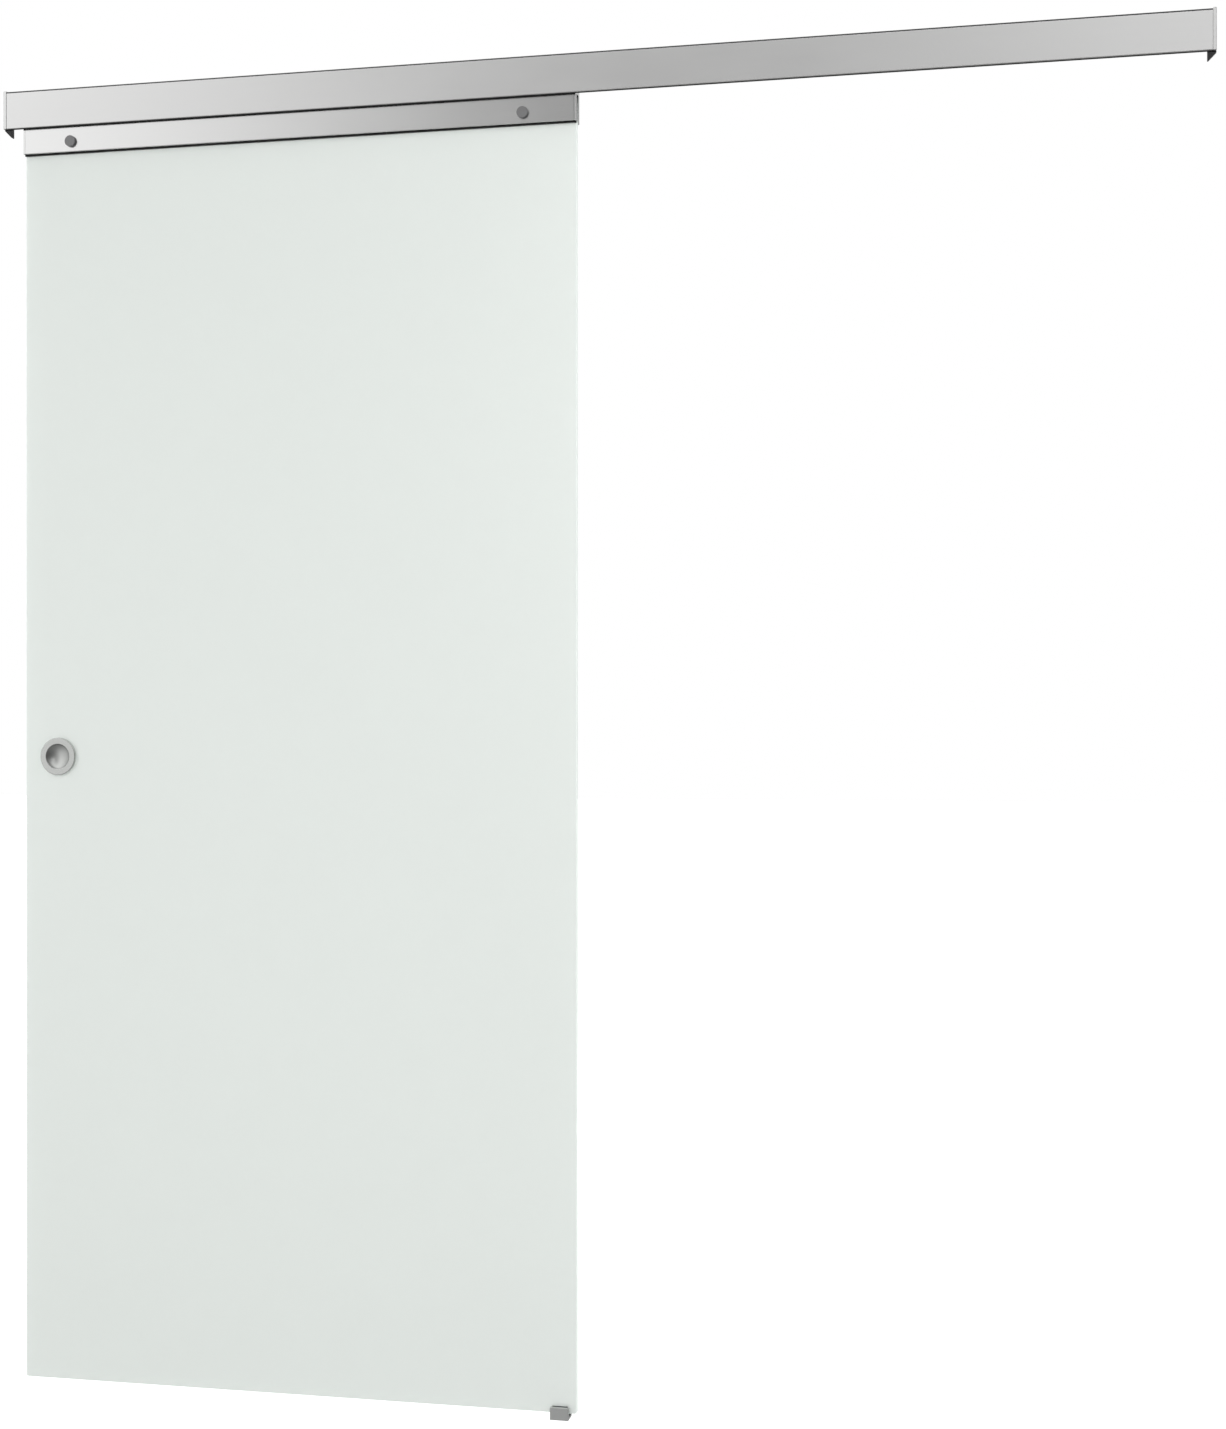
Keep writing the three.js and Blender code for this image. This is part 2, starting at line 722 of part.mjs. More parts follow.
// A cap screw from the front jaw, through the glass, into the back jaw.
function clampScrew() {
  const headFront = -jawOuter + seatGap;
  const headBack = headFront + clampScrewHeadHeight;
  const tip = jawOuter - 1;
  const socketFloor = headFront + clampScrewSocketDepth;
  return turnedAboutY([
    [0, socketFloor],
    [clampScrewSocketRadius, socketFloor],
    [clampScrewSocketRadius, headFront],
    [clampScrewHeadRadius, headFront],
    [clampScrewHeadRadius, headBack],
    [clampScrewRadius, headBack],
    [clampScrewRadius, tip],
    [0, tip],
  ], 24);
}

// A round cover whose peg pushes into the clamp screw's socket.
function screwCap() {
  const back = -jawOuter - seatGap;
  const front = back - screwCapHeight;
  const pegRadius = clampScrewSocketRadius - boreGap;
  const pegEnd = back + screwCapPegLength;
  return turnedAboutY([
    [0, front],
    [screwCapRadius - screwCapChamfer, front],
    [screwCapRadius, front + screwCapChamfer],
    [screwCapRadius, back],
    [pegRadius, back],
    [pegRadius, pegEnd],
    [0, pegEnd],
  ], 32);
}

for (const [name, side] of [['front', -1], ['back', 1]]) {
  addPart(`clamp_jaw_${name}`, clampJaw(side), satinAluminium);
  addPart(`clamp_gasket_${name}`, clampGasket(side), blackRubber);
}

sides.forEach(([name, side], i) => {
  const x = clampScrewPlaces[i];
  addPart(`clamp_end_cap_${name}`, clampEndCap(side), satinAluminium);
  addPart(`clamp_screw_${name}`, clampScrew(), zincSteel, x, doorPlane, clampScrewAxis);
  addPart(`screw_cap_${name}`, screwCap(), capGrey, x, doorPlane, clampScrewAxis);
});

// ---------------------------------------------------------------- glass

const pullX = glassLeft + pullInset;
const pullZ = glassBottom + pullAboveEdge;

// The pane has polished bevels, a hole for each clamp screw and one for the pull.
function glassPane() {
  const corner = glassCorner;
  const shape = roundedOutline([
    [glassLeft, glassBottom, corner],
    [glassRight, glassBottom, corner],
    [glassRight, glassTop, corner],
    [glassLeft, glassTop, corner],
  ]);
  const pane = new THREE.ExtrudeGeometry(shape, {
    depth: glassThickness - 2 * glassBevel,
    bevelThickness: glassBevel,
    bevelSize: glassBevel,
    bevelOffset: -glassBevel,
    bevelSegments: 1,
    curveSegments: 4,
  }).rotateX(Math.PI / 2).translate(0, doorPlane + glassThickness / 2 - glassBevel, 0);
  const from = doorPlane - glassThickness;
  const to = doorPlane + glassThickness;
  const screwHoles = clampScrewPlaces.map(
    (x) => barAlongY(glassHoleRadius, from, to, x, clampScrewAxis, 24));
  const pullHole = barAlongY(pullSleeveRadius + boreGap, from, to, pullX, pullZ, 36);
  return cut(pane, ...screwHoles, pullHole);
}

addPart('glass_panel', glassPane(), frostedGlass);

// ---------------------------------------------------------------- flush pull

// Half of the pull, turned from solid: a flange on the glass, a sleeve in the hole and a dished
// cup. The two halves meet in the middle of the glass.
function pullCup(side) {
  const meeting = seatGap;                              // distance from the middle plane
  const seat = glassThickness / 2 + seatGap;
  const face = glassThickness / 2 + pullProud;
  const dishFloor = meeting + pullFloor;
  const lipBottom = face - pullLipRadius;
  const dishDepth = lipBottom - dishFloor;
  const dishRadius = (pullMouthRadius ** 2 + dishDepth ** 2) / (2 * dishDepth);
  const dishSteps = 7;
  const lipSteps = 2;
  const profile = [
    [0, meeting],
    [pullSleeveRadius, meeting],
    [pullSleeveRadius, seat],
    [pullRadius, seat],
    [pullRadius, face - pullChamfer],
    [pullRadius - pullChamfer, face],
  ];
  for (let i = 0; i <= lipSteps; i += 1) {
    const angle = (i / lipSteps) * Math.PI / 2;
    profile.push([
      pullMouthRadius + pullLipRadius * (1 - Math.sin(angle)),
      lipBottom + pullLipRadius * Math.cos(angle),
    ]);
  }
  for (let i = dishSteps - 1; i >= 0; i -= 1) {
    const radius = pullMouthRadius * i / dishSteps;
    profile.push([
      radius, dishFloor + dishRadius - Math.sqrt(dishRadius ** 2 - radius ** 2)]);
  }
  return turnedAboutY(profile, 36).rotateZ(side < 0 ? Math.PI : 0);
}

addPart('pull_cup_front', pullCup(-1), brushedSteel, pullX, doorPlane, pullZ);
addPart('pull_cup_back', pullCup(1), brushedSteel, pullX, doorPlane, pullZ);

// ---------------------------------------------------------------- floor guide

const guideX = glassRight - guideInset;
const guideInner = glassThickness / 2 + glassGap + linerThickness + seatGap;
const guideOuter = guideInner + guideCheek;
const guideFloor = floorLevel + guideBase;
const guideTop = floorLevel + guideHeight;
const guideScrewOffsets = [-guideScrewSpacing / 2, guideScrewSpacing / 2];

// A U-shaped block on the floor. The upper corners of its cheeks are rounded as seen from
// the front.
function guideBody() {
  const half = guideLength / 2;
  const side = roundedOutline([
    [-half, floorLevel],
    [half, floorLevel],
    [half, guideTop, guideCorner],
    [-half, guideTop, guideCornerSmall],
  ]);
  const channel = block(
    -guideLength, guideLength, -guideInner, guideInner, guideFloor, guideTop + 1);
  const holes = guideScrewOffsets.flatMap((x) => [
    barAlongZ(guideScrewRadius + boreGap, floorLevel - 1, guideFloor + 1, x, 0, 12),
    barAlongZ(guideScrewHeadRadius + boreGap,
      guideFloor - guideScrewHeadHeight - 2 * seatGap, guideFloor + 1, x, 0, 16),
  ]);
  return cut(alongY(side, -guideOuter, guideOuter), channel, ...holes);
}

// A nylon channel pressed into the guide. Its upper edges lean away from the glass.
function guideLiner() {
  const outer = guideInner - seatGap;
  const inner = outer - linerThickness;
  const low = guideFloor + seatGap;
  const high = guideTop + linerStandProud;
  const leadIn = linerThickness / 2;
  const section = outline([
    [-outer, low],
    [outer, low],
    [outer, high],
    [inner + leadIn, high],
    [inner, high - 2 * leadIn],
    [inner, low + linerBase],
    [-inner, low + linerBase],
    [-inner, high - 2 * leadIn],
    [-inner - leadIn, high],
    [-outer, high],
  ]);
  const half = guideLength / 2 - guideCorner;
  return alongX(section, -half, half);
}

function guideScrew() {
  const headTop = guideFloor - seatGap;
  const headBottom = headTop - guideScrewHeadHeight;
  const tip = floorLevel - guideScrewReach;
  return turnedAboutZ([
    [0, tip],
    [guideScrewRadius, tip + 5],
    [guideScrewRadius, headBottom],
    [guideScrewHeadRadius, headBottom],
    [guideScrewHeadRadius, headTop],
    [0, headTop],
  ], 16);
}

addPart('guide_body', guideBody(), guideGrey, guideX, doorPlane);
addPart('guide_liner', guideLiner(), darkPlastic, guideX, doorPlane);
guideScrewOffsets.forEach((offset, i) => {
  addPart(`guide_screw_${i + 1}`, guideScrew(), zincSteel, guideX + offset, doorPlane);
});

export default group;
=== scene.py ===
# %% [markdown]
# # A sliding glass door set, dressed for the showroom
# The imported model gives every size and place. This lesson puts fine surfaces on it: extruded
# aluminium with true rounded edges, a turned steel pull, etched glass, moulded plastic, threads.
# Each new piece takes its place from the box of the CAD node that it stands for, so nothing is
# fitted by eye, and each one rides on the body that its node rides on.

# %% Load the frame
import json
import math

import bpy
import bmesh
from mathutils import Matrix, Vector


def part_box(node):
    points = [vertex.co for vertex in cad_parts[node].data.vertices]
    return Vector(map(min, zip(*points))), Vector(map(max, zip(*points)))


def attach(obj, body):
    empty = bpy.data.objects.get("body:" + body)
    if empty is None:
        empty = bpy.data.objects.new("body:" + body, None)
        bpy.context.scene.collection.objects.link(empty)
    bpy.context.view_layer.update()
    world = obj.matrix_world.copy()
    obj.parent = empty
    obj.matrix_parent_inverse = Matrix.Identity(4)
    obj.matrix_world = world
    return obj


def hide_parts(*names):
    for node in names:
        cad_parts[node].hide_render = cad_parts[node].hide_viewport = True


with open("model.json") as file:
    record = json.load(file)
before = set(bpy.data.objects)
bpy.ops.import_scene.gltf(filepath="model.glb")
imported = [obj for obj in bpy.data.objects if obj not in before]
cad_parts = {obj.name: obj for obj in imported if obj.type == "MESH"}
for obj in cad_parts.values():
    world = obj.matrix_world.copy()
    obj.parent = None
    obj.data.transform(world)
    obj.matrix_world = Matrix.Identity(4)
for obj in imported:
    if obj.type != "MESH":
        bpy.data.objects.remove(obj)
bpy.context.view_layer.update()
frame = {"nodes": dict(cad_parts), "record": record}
bodies = frame["record"]["behaviour"]["bodies"]
body_of = {node: body for body, nodes in bodies.items() for node in nodes}
MM = 0.001
SIDES = ("left", "right")
HALVES = (("front", -1), ("back", 1))

# %% [markdown]
# ## The camera
# Tall door sets are drawn with upright edges that stay parallel, so the camera is level and a
# small vertical shift brings the rail into the picture, as an architect's lens does. It stands
# to the right of the door, which shows the rail running away to the left.

# %% Camera
camera_place = Vector((0.7218, -3.1627, -1.0292))
camera_turn = math.radians(11.934)
camera_lens = 52.29
camera_rise = 0.01406

lens = bpy.data.cameras.new("door_camera")
lens.lens = camera_lens
lens.sensor_width = 36
lens.shift_y = camera_rise
camera = bpy.data.objects.new("door_camera", lens)
camera.location = camera_place
camera.rotation_euler = (math.pi / 2, 0, camera_turn)
bpy.context.scene.collection.objects.link(camera)
bpy.context.scene.camera = camera
print("camera at", [round(v, 3) for v in camera_place])

# %% [markdown]
# ## Shader maths as plain expressions
# A material is a small calculation, and it reads best when it is written as one. `Value` wraps a
# socket, so that `grain * 0.2 + 0.5` adds the Math nodes that do it. `Finish` starts a material
# and makes any other node in one call.

# %% Value and Finish
def is_number(thing):
    return isinstance(thing, (int, float))


class Value:
    """A socket that can be added, multiplied and so on."""

    def __init__(self, finish, socket):
        self.finish = finish
        self.socket = socket

    def math(self, operation, a, b=None, clamp=False):
        given = {0: a} if b is None else {0: a, 1: b}
        settings = {"operation": operation, "use_clamp": clamp}
        return self.finish.node("ShaderNodeMath", settings, given)

    def __add__(self, other):
        return self.math("ADD", self, other)

    def __radd__(self, other):
        return self.math("ADD", other, self)

    def __sub__(self, other):
        return self.math("SUBTRACT", self, other)

    def __rsub__(self, other):
        return self.math("SUBTRACT", other, self)

    def __mul__(self, other):
        return self.math("MULTIPLY", self, other)

    def __rmul__(self, other):
        return self.math("MULTIPLY", other, self)

    def __truediv__(self, other):
        return self.math("DIVIDE", self, other)

    def root(self):
        return self.math("SQRT", self)

    def limited(self):
        return self.math("ADD", self, 0.0, clamp=True)


class Finish:
    """A node tree under construction: a material's or the world's."""

    def __init__(self, tree):
        self.tree = tree
        tree.nodes.clear()

    def node(self, kind, settings=None, inputs=None, output=0):
        made = self.tree.nodes.new(kind)
        for name, value in (settings or {}).items():
            if name == "stops":
                while len(made.color_ramp.elements) < len(value):
                    made.color_ramp.elements.new(0.5)
                for stop, (position, colour) in zip(made.color_ramp.elements, value):
                    stop.position = position
                    stop.color = colour if len(colour) == 4 else (*colour, 1)
            else:
                setattr(made, name, value)
        for name, value in (inputs or {}).items():
            socket = made.inputs[name]
            if isinstance(value, Value):
                self.tree.links.new(value.socket, socket)
            elif is_number(value) or socket.type != "RGBA" or len(value) == 4:
                socket.default_value = value
            else:
                socket.default_value = (*value, 1)
        return Value(self, made.outputs[output]) if len(made.outputs) else None

    def place(self):
        """Where a point is on the object, in metres in the CAD frame."""
        return self.node("ShaderNodeTexCoord", output="Object")

    def scaled(self, vector, by):
        return self.node("ShaderNodeVectorMath", {"operation": "MULTIPLY"}, {0: vector, 1: by})

    def noise(self, vector, per_metre, detail=3.0, roughness=0.5):
        """Noise with features about 1 / per_metre metres across. per_metre may differ by axis."""
        by = (per_metre,) * 3 if is_number(per_metre) else per_metre
        return self.node(
            "ShaderNodeTexNoise", None,
            {"Vector": self.scaled(vector, by), "Scale": 1.0, "Detail": detail,
             "Roughness": roughness})

    def cells(self, vector, per_metre, output="Distance"):
        by = (per_metre,) * 3
        return self.node(
            "ShaderNodeTexVoronoi", None,
            {"Vector": self.scaled(vector, by), "Scale": 1.0}, output)

    def blend(self, share, low, high):
        """A colour between two colours."""
        return self.node(
            "ShaderNodeMix", {"data_type": "RGBA"}, {0: share, 6: low, 7: high}, output=2)

    def relief(self, height, depth):
        """A bump whose full height is depth metres."""
        return self.node("ShaderNodeBump", None, {
            "Height": height, "Distance": depth, "Strength": 1.0})

    def split(self, vector):
        """The three parts of a vector."""
        parts = self.tree.nodes.new("ShaderNodeSeparateXYZ")
        self.tree.links.new(vector.socket, parts.inputs[0])
        return [Value(self, part) for part in parts.outputs]

    def surface(self, **inputs):
        shader = self.node("ShaderNodeBsdfPrincipled", None, {
            name.replace("_", " "): value for name, value in inputs.items()})
        self.node("ShaderNodeOutputMaterial", None, {"Surface": shader})


def new_material(name):
    material = bpy.data.materials.new(name)
    material.use_nodes = True
    f = Finish(material.node_tree)
    return material, f, f.place()


# %% [markdown]
# ## Anodised aluminium
# An extrusion leaves the die with faint lines along its length, and satin anodising softens them
# to a sheen. Stretched noise gives both: long along X and a fraction of a millimetre across. It
# moves only the roughness and a bump of a few microns, because a clear anodised face has almost
# no change of colour.

# %% Aluminium
def aluminium(name, colour, polish, line_depth):
    material, f, place = new_material(name)
    lines = f.noise(place, (6, 2600, 2600), detail=4)
    clouds = f.noise(place, (9, 30, 30), detail=2)
    tint = f.blend(clouds, [c * 0.985 for c in colour], [min(c * 1.015, 1) for c in colour])
    f.surface(
        Base_Color=tint,
        Metallic=1.0,
        Roughness=polish + (lines - 0.5) * 0.10 + (clouds - 0.5) * 0.03,
        Normal=f.relief(lines, line_depth))
    return material


fascia_aluminium = aluminium("fascia_aluminium", (0.80, 0.80, 0.795), 0.33, 3e-6)
clamp_aluminium = aluminium("clamp_aluminium", (0.80, 0.80, 0.795), 0.24, 3e-6)
rail_aluminium = aluminium("rail_aluminium", (0.66, 0.67, 0.665), 0.40, 8e-6)
guide_aluminium = aluminium("guide_aluminium", (0.63, 0.64, 0.63), 0.42, 4e-6)
# A near-black finish for the front of the fascia's upper round: a painted shade line.
painted_edge_shade = aluminium("painted_edge_shade", (0.11, 0.11, 0.112), 0.48, 4e-6)
print("aluminium finishes made")

# %% [markdown]
# ## Turned steel and plated steel
# The pull is faced and polished on a lathe. Its tool marks are rings round its own axis, so the
# noise is read along the distance from that axis instead of along X. Its flange is polished and
# the dish inside is left duller, told apart by that distance. The fixings are zinc plated:
# the plating shows as a soft mottle of grey, with a trace of warm and cool.

# %% Steel
def turned_steel(name, centre, colour, polish, dish_radius, dish_polish):
    """Steel with rings round an axis that lies along Y and passes through centre. Within
    dish_radius of the axis it has a polish of its own."""
    material, f, place = new_material(name)
    x, _, z = f.split(place)
    across = x - centre.x
    up = z - centre.z
    radius = (across * across + up * up).root()
    rings = f.node("ShaderNodeTexNoise", {"noise_dimensions": "1D"}, {
        "W": radius * 9000, "Scale": 1.0, "Detail": 3.0})
    clouds = f.noise(place, 60, detail=2)
    tint = f.blend(clouds, [c * 0.97 for c in colour], [min(c * 1.02, 1) for c in colour])
    dish = radius.math("LESS_THAN", radius, dish_radius)
    f.surface(
        Base_Color=tint,
        Metallic=1.0,
        Roughness=polish + dish * (dish_polish - polish) + (rings - 0.5) * 0.10,
        Normal=f.relief(rings, 1.5e-6))
    return material


def zinc_plate():
    material, f, place = new_material("zinc_steel")
    flakes = f.cells(place, 900, "Color")
    mottle = f.noise(place, 350, detail=3)
    warm = f.blend(mottle, (0.50, 0.51, 0.53), (0.63, 0.62, 0.58))
    tint = f.blend(0.12, warm, flakes)
    f.surface(
        Base_Color=tint,
        Metallic=1.0,
        Roughness=0.30 + mottle * 0.16,
        Normal=f.relief(mottle, 6e-6))
    return material


def ground_steel():
    material, f, place = new_material("bearing_steel")
    marks = f.noise(place, (4000, 300, 4000), detail=3)
    stain = f.noise(place, 120, detail=2)
    tint = f.blend(stain, (0.55, 0.56, 0.57), (0.62, 0.62, 0.62))
    f.surface(
        Base_Color=tint,
        Metallic=1.0,
        Roughness=0.16 + marks * 0.10,
        Normal=f.relief(marks, 1.5e-6))
    return material


zinc_steel = zinc_plate()
bearing_steel = ground_steel()
print("steel finishes made")

# %% [markdown]
# ## Plastics and rubber
# A moulding copies the fine spark texture of its tool, so a plastic gets a bump of cells a
# quarter of a millimetre across and a roughness that follows them. Rubber is duller and holds a
# little dust, which shows as pale patches.

# %% Plastics
def moulded(name, colour, polish, grain_depth):
    material, f, place = new_material(name)
    grain = f.cells(place, 4000)
    flow = f.noise(place, 70, detail=3)
    shade = 0.04
    tint = f.blend(
        flow, [c * (1 - shade) for c in colour], [min(c * (1 + shade), 1) for c in colour])
    f.surface(
        Base_Color=tint,
        Roughness=polish + (grain - 0.5) * 0.10,
        Normal=f.relief(grain, grain_depth))
    return material


def rubber(name, colour):
    material, f, place = new_material(name)
    dust = f.noise(place, 160, detail=4, roughness=0.6)
    grain = f.noise(place, 3500, detail=2)
    tint = f.blend((dust - 0.50).limited() * 0.4, colour, (0.10, 0.097, 0.094))
    f.surface(
        Base_Color=tint,
        Roughness=0.72 + dust * 0.2,
        Normal=f.relief(grain, 2e-5))
    return material


dark_plastic = moulded("dark_plastic", (0.018, 0.018, 0.019), 0.50, 2e-5)
# Near-black paint for the fascia's inner faces: painted shade that keeps the slot above the clamp
# dark.
painted_shade_black = moulded("painted_shade_black", (0.012, 0.012, 0.012), 0.60, 8e-6)
wheel_nylon = moulded("wheel_nylon", (0.76, 0.73, 0.66), 0.40, 8e-6)
guide_nylon = moulded("guide_nylon", (0.030, 0.030, 0.032), 0.45, 1e-5)
cap_grey = moulded("cap_grey", (0.155, 0.155, 0.157), 0.38, 8e-6)
black_rubber = rubber("black_rubber", (0.010, 0.010, 0.010))
print("plastic and rubber finishes made")

# %% [markdown]
# ## Etched glass
# Acid etching leaves a silky skin that scatters light and hides what is behind. The pane keeps a
# trace of the green of float glass. A quarter of its light passes through, spread by a high
# roughness, and the rest comes back as from a pale solid. The edges are polished, so they are a
# second finish, smoother and clearer. They also carry a faint painted glow, a light of their own
# that stands for light caught within the pane and leaving through its edges.

# %% Glass
def etched_glass():
    material, f, place = new_material("frosted_glass")
    etch = f.noise(place, 2200, detail=3)
    silk = f.noise(place, 25, detail=2)
    tint = f.blend(silk, (0.790, 0.826, 0.799), (0.800, 0.836, 0.809))
    f.surface(
        Base_Color=tint,
        Roughness=0.50 + etch * 0.12,
        Normal=f.relief(etch, 6e-6),
        Transmission_Weight=0.25,
        IOR=1.5)
    return material


def polished_edge_with_glow():
    material, f, place = new_material("glass_edge")
    marks = f.noise(place, (700, 700, 700), detail=3)
    tint = f.blend(marks, (0.84, 0.90, 0.87), (0.88, 0.93, 0.90))
    f.surface(
        Base_Color=tint,
        Roughness=0.12 + marks * 0.10,
        Normal=f.relief(marks, 4e-6),
        Transmission_Weight=0.15,
        # Painted glow: the edge gives off a faint light of its own.
        Emission_Color=(0.93, 1.0, 0.96),
        Emission_Strength=0.25,
        IOR=1.5)
    return material


frosted_glass = etched_glass()
glass_edge = polished_edge_with_glow()
print("glass finishes made")

# %% [markdown]
# ## Outlines with true rounds
# Every extrusion and turning here starts as an outline of a few corners. A third number on a
# corner is its radius, and the corner becomes a run of points on a true arc. An outline written
# this way stays short and shows the shape that a maker would draw.

# %% Outline helper
def rounded(corners, steps=6, closed=True):
    """The points of an outline of (a, b, radius) corners, with an arc at each radius."""
    points = []
    count = len(corners)
    for i, corner in enumerate(corners):
        here = Vector(corner[:2])
        radius = corner[2] if len(corner) > 2 else 0
        ends = not closed and i in (0, count - 1)
        if radius == 0 or ends:
            points.append(here)
            continue
        back = (Vector(corners[i - 1][:2]) - here).normalized()
        on = (Vector(corners[(i + 1) % count][:2]) - here).normalized()
        half = back.angle(on) / 2
        middle = here + (back + on).normalized() * radius / math.sin(half)
        start = here + back * radius / math.tan(half) - middle
        turn = start.angle_signed(here + on * radius / math.tan(half) - middle)
        for step in range(steps + 1):
            angle = -turn * step / steps
            c, s = math.cos(angle), math.sin(angle)
            points.append(middle + Vector((start.x * c - start.y * s, start.x * s + start.y * c)))
    return points


def rectangle(low, high):
    """The outline of a rectangle between two corners."""
    return [Vector(p) for p in (low, (high[0], low[1]), high, (low[0], high[1]))]


def mirrored(corners):
    """The corners, then the same ones backwards with their second number turned round."""
    return corners + [(a, -b, *radius) for a, b, *radius in reversed(corners)]


def inset(points, depth):
    """The same outline, drawn in by depth on every side."""
    area = sum(p.cross(q) for p, q in zip(points, points[1:] + points[:1]))
    inward = 1 if area > 0 else -1
    moved = []
    for i, here in enumerate(points):
        a = (here - points[i - 1]).normalized()
        b = (points[(i + 1) % len(points)] - here).normalized()
        normal = Vector((-a.y - b.y, a.x + b.x)) * inward
        share = max(normal.length_squared / 2, 0.5)
        moved.append(here + normal / share * depth)
    return moved


# %% [markdown]
# ## From outline to solid
# Two ways of making cover almost every piece. `extruded` pushes an outline along an axis and
# breaks the edges of both ends with a small bevel, as a saw and a file would. `turned` spins one
# about an axis. `carved` cuts holes with cutters made the same way. Each result is one closed
# mesh, smooth except where two faces meet at more than 30 degrees.

# %% Mesh helpers
SHARP_ANGLE = 30
THREAD_ANGLE = 50
AXES = {
    "X": lambda a, b, along: (along, a, b),
    "Y": lambda a, b, along: (a, along, b),
    "Z": lambda a, b, along: (a, b, along),
}


def solid(name, points, faces, sharp=SHARP_ANGLE):
    """One closed mesh object, with its faces pointing out."""
    mesh = bpy.data.meshes.new(name)
    shape = bmesh.new()
    corners = [shape.verts.new(p) for p in points]
    for face in faces:
        shape.faces.new([corners[i] for i in face])
    bmesh.ops.remove_doubles(shape, verts=shape.verts, dist=1e-7)
    bmesh.ops.recalc_face_normals(shape, faces=shape.faces)
    shape.to_mesh(mesh)
    shape.free()
    mesh.shade_smooth()
    mesh.set_sharp_from_angle(angle=math.radians(sharp))
    piece = bpy.data.objects.new(name, mesh)
    bpy.context.scene.collection.objects.link(piece)
    return piece


def extruded(name, outline, axis, start, end, bevel=(0, 0)):
    """An outline pushed along an axis. bevel is the broken edge at the start and at the end."""
    lift = AXES[axis]
    rings = []
    if bevel[0]:
        rings.append((inset(outline, bevel[0]), start))
    rings.append((outline, start + bevel[0]))
    rings.append((outline, end - bevel[1]))
    if bevel[1]:
        rings.append((inset(outline, bevel[1]), end))
    points = [lift(p.x, p.y, along) for ring, along in rings for p in ring]
    count = len(outline)
    faces = [list(range(count)), list(range(len(points) - count, len(points)))]
    for r in range(len(rings) - 1):
        for i in range(count):
            j = (i + 1) % count
            low, high = r * count, (r + 1) * count
            faces.append([low + i, low + j, high + j, high + i])
    return solid(name, points, faces)


def turned(name, profile, axis, centre, steps=48, closed=False, sharp=SHARP_ANGLE):
    """A profile of (radius, along) points spun about an axis through centre. A closed profile
    makes a ring, and an open one starts and ends on the axis."""
    lift = AXES[axis]
    points = []
    for step in range(steps):
        angle = 2 * math.pi * step / steps
        for p in profile:
            points.append(
                Vector(lift(p.x * math.cos(angle), p.x * math.sin(angle), p.y)) + centre)
    count = len(profile)
    faces = []
    for step in range(steps):
        here, there = step * count, ((step + 1) % steps) * count
        for i in range(count if closed else count - 1):
            j = (i + 1) % count
            face = [here + i, here + j, there + j, there + i]
            if not closed and profile[i].x < 1e-9:
                face = [here + i, here + j, there + j]
            elif not closed and profile[j].x < 1e-9:
                face = [here + i, here + j, there + i]
            faces.append(face)
    return solid(name, points, faces, sharp)


def made_real(piece, sharp=SHARP_ANGLE):
    """Turns a piece's modifiers into its mesh."""
    view = bpy.context.evaluated_depsgraph_get()
    mesh = bpy.data.meshes.new_from_object(piece.evaluated_get(view))
    piece.modifiers.clear()
    old, piece.data = piece.data, mesh
    mesh.name = piece.name
    bpy.data.meshes.remove(old)
    mesh.shade_smooth()
    mesh.set_sharp_from_angle(angle=math.radians(sharp))
    return piece


def combined(piece, others, operation, sharp=SHARP_ANGLE):
    """Cuts the others out of the piece, or joins them to it, and removes them."""
    for other in others:
        step = piece.modifiers.new(operation.lower(), "BOOLEAN")
        step.operation = operation
        step.solver = "EXACT"
        step.object = other
    made_real(piece, sharp)
    for other in others:
        bpy.data.objects.remove(other)
    return piece


def carved(piece, cutters):
    return combined(piece, cutters, "DIFFERENCE")


def joined(piece, others, sharp=SHARP_ANGLE):
    return combined(piece, others, "UNION", sharp)


def pin(name, radius, axis, start, end, centre, steps=32):
    """A plain round bar, used as a cutter or joined to a larger piece."""
    profile = [Vector(p) for p in ((0, start), (radius, start), (radius, end), (0, end))]
    return turned(name, profile, axis, centre, steps)


def eased(piece, width):
    """Breaks every sharp edge, as tumbling or a moulding tool does."""
    step = piece.modifiers.new("ease", "BEVEL")
    step.width = width
    step.segments = 2
    step.limit_method = "ANGLE"
    step.angle_limit = math.radians(SHARP_ANGLE)
    step.use_clamp_overlap = True
    return made_real(piece)


def block(name, low, high):
    """A box between two corners, made as an outline pushed along X."""
    return extruded(name, rectangle(low[1:], high[1:]), "X", low[0], high[0])


def dress(piece, node, material, *others):
    """Puts a piece in the place of its CAD node, on the same body, with the given finishes.
    Wide faces set the shading and keep it flat, so that only the narrow rounds beside them
    bend the light."""
    step = piece.modifiers.new("flat faces", "WEIGHTED_NORMAL")
    step.keep_sharp = True
    piece.data.materials.clear()
    for finish in (material, *others):
        piece.data.materials.append(finish)
    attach(piece, body_of[node])
    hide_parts(node)


def axis_of(node, along):
    """The middle of a node, with 0 along one axis, where the profiles give the place instead."""
    low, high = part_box(node)
    middle = (low + high) / 2
    middle["XYZ".index(along)] = 0
    return middle


# %% [markdown]
# ## The fascia
# The fascia is the satin strip that people see. It is a thin extrusion: a flat face, a hook over
# the rail's top, a short return along its lower edge, and a rib that snaps into the rail. Its
# outer edges are true arcs. The front of the rolled upper edge is painted darker than the face,
# a painted shade line along the rail's whole length. The inner faces are painted black and a
# black bead runs under the lower edge, both painted shade that keeps the slot between fascia and
# clamp dark.

# %% Fascia
rail_low, rail_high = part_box("track_rail")
fascia_low, fascia_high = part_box("fascia_cover")
fascia_wall = 1.7 * MM
fascia_round = 4.2 * MM
foot_round = 1.4 * MM
shade_bead_height = 1.1 * MM
gap = 0.3 * MM
fascia_inner = fascia_low.y + fascia_wall
fascia_lip = fascia_inner + 2.2 * MM
snap_middle = rail_high.z - 32 * MM
snap_half = 1.2 * MM
hook_under = fascia_high.z - fascia_wall

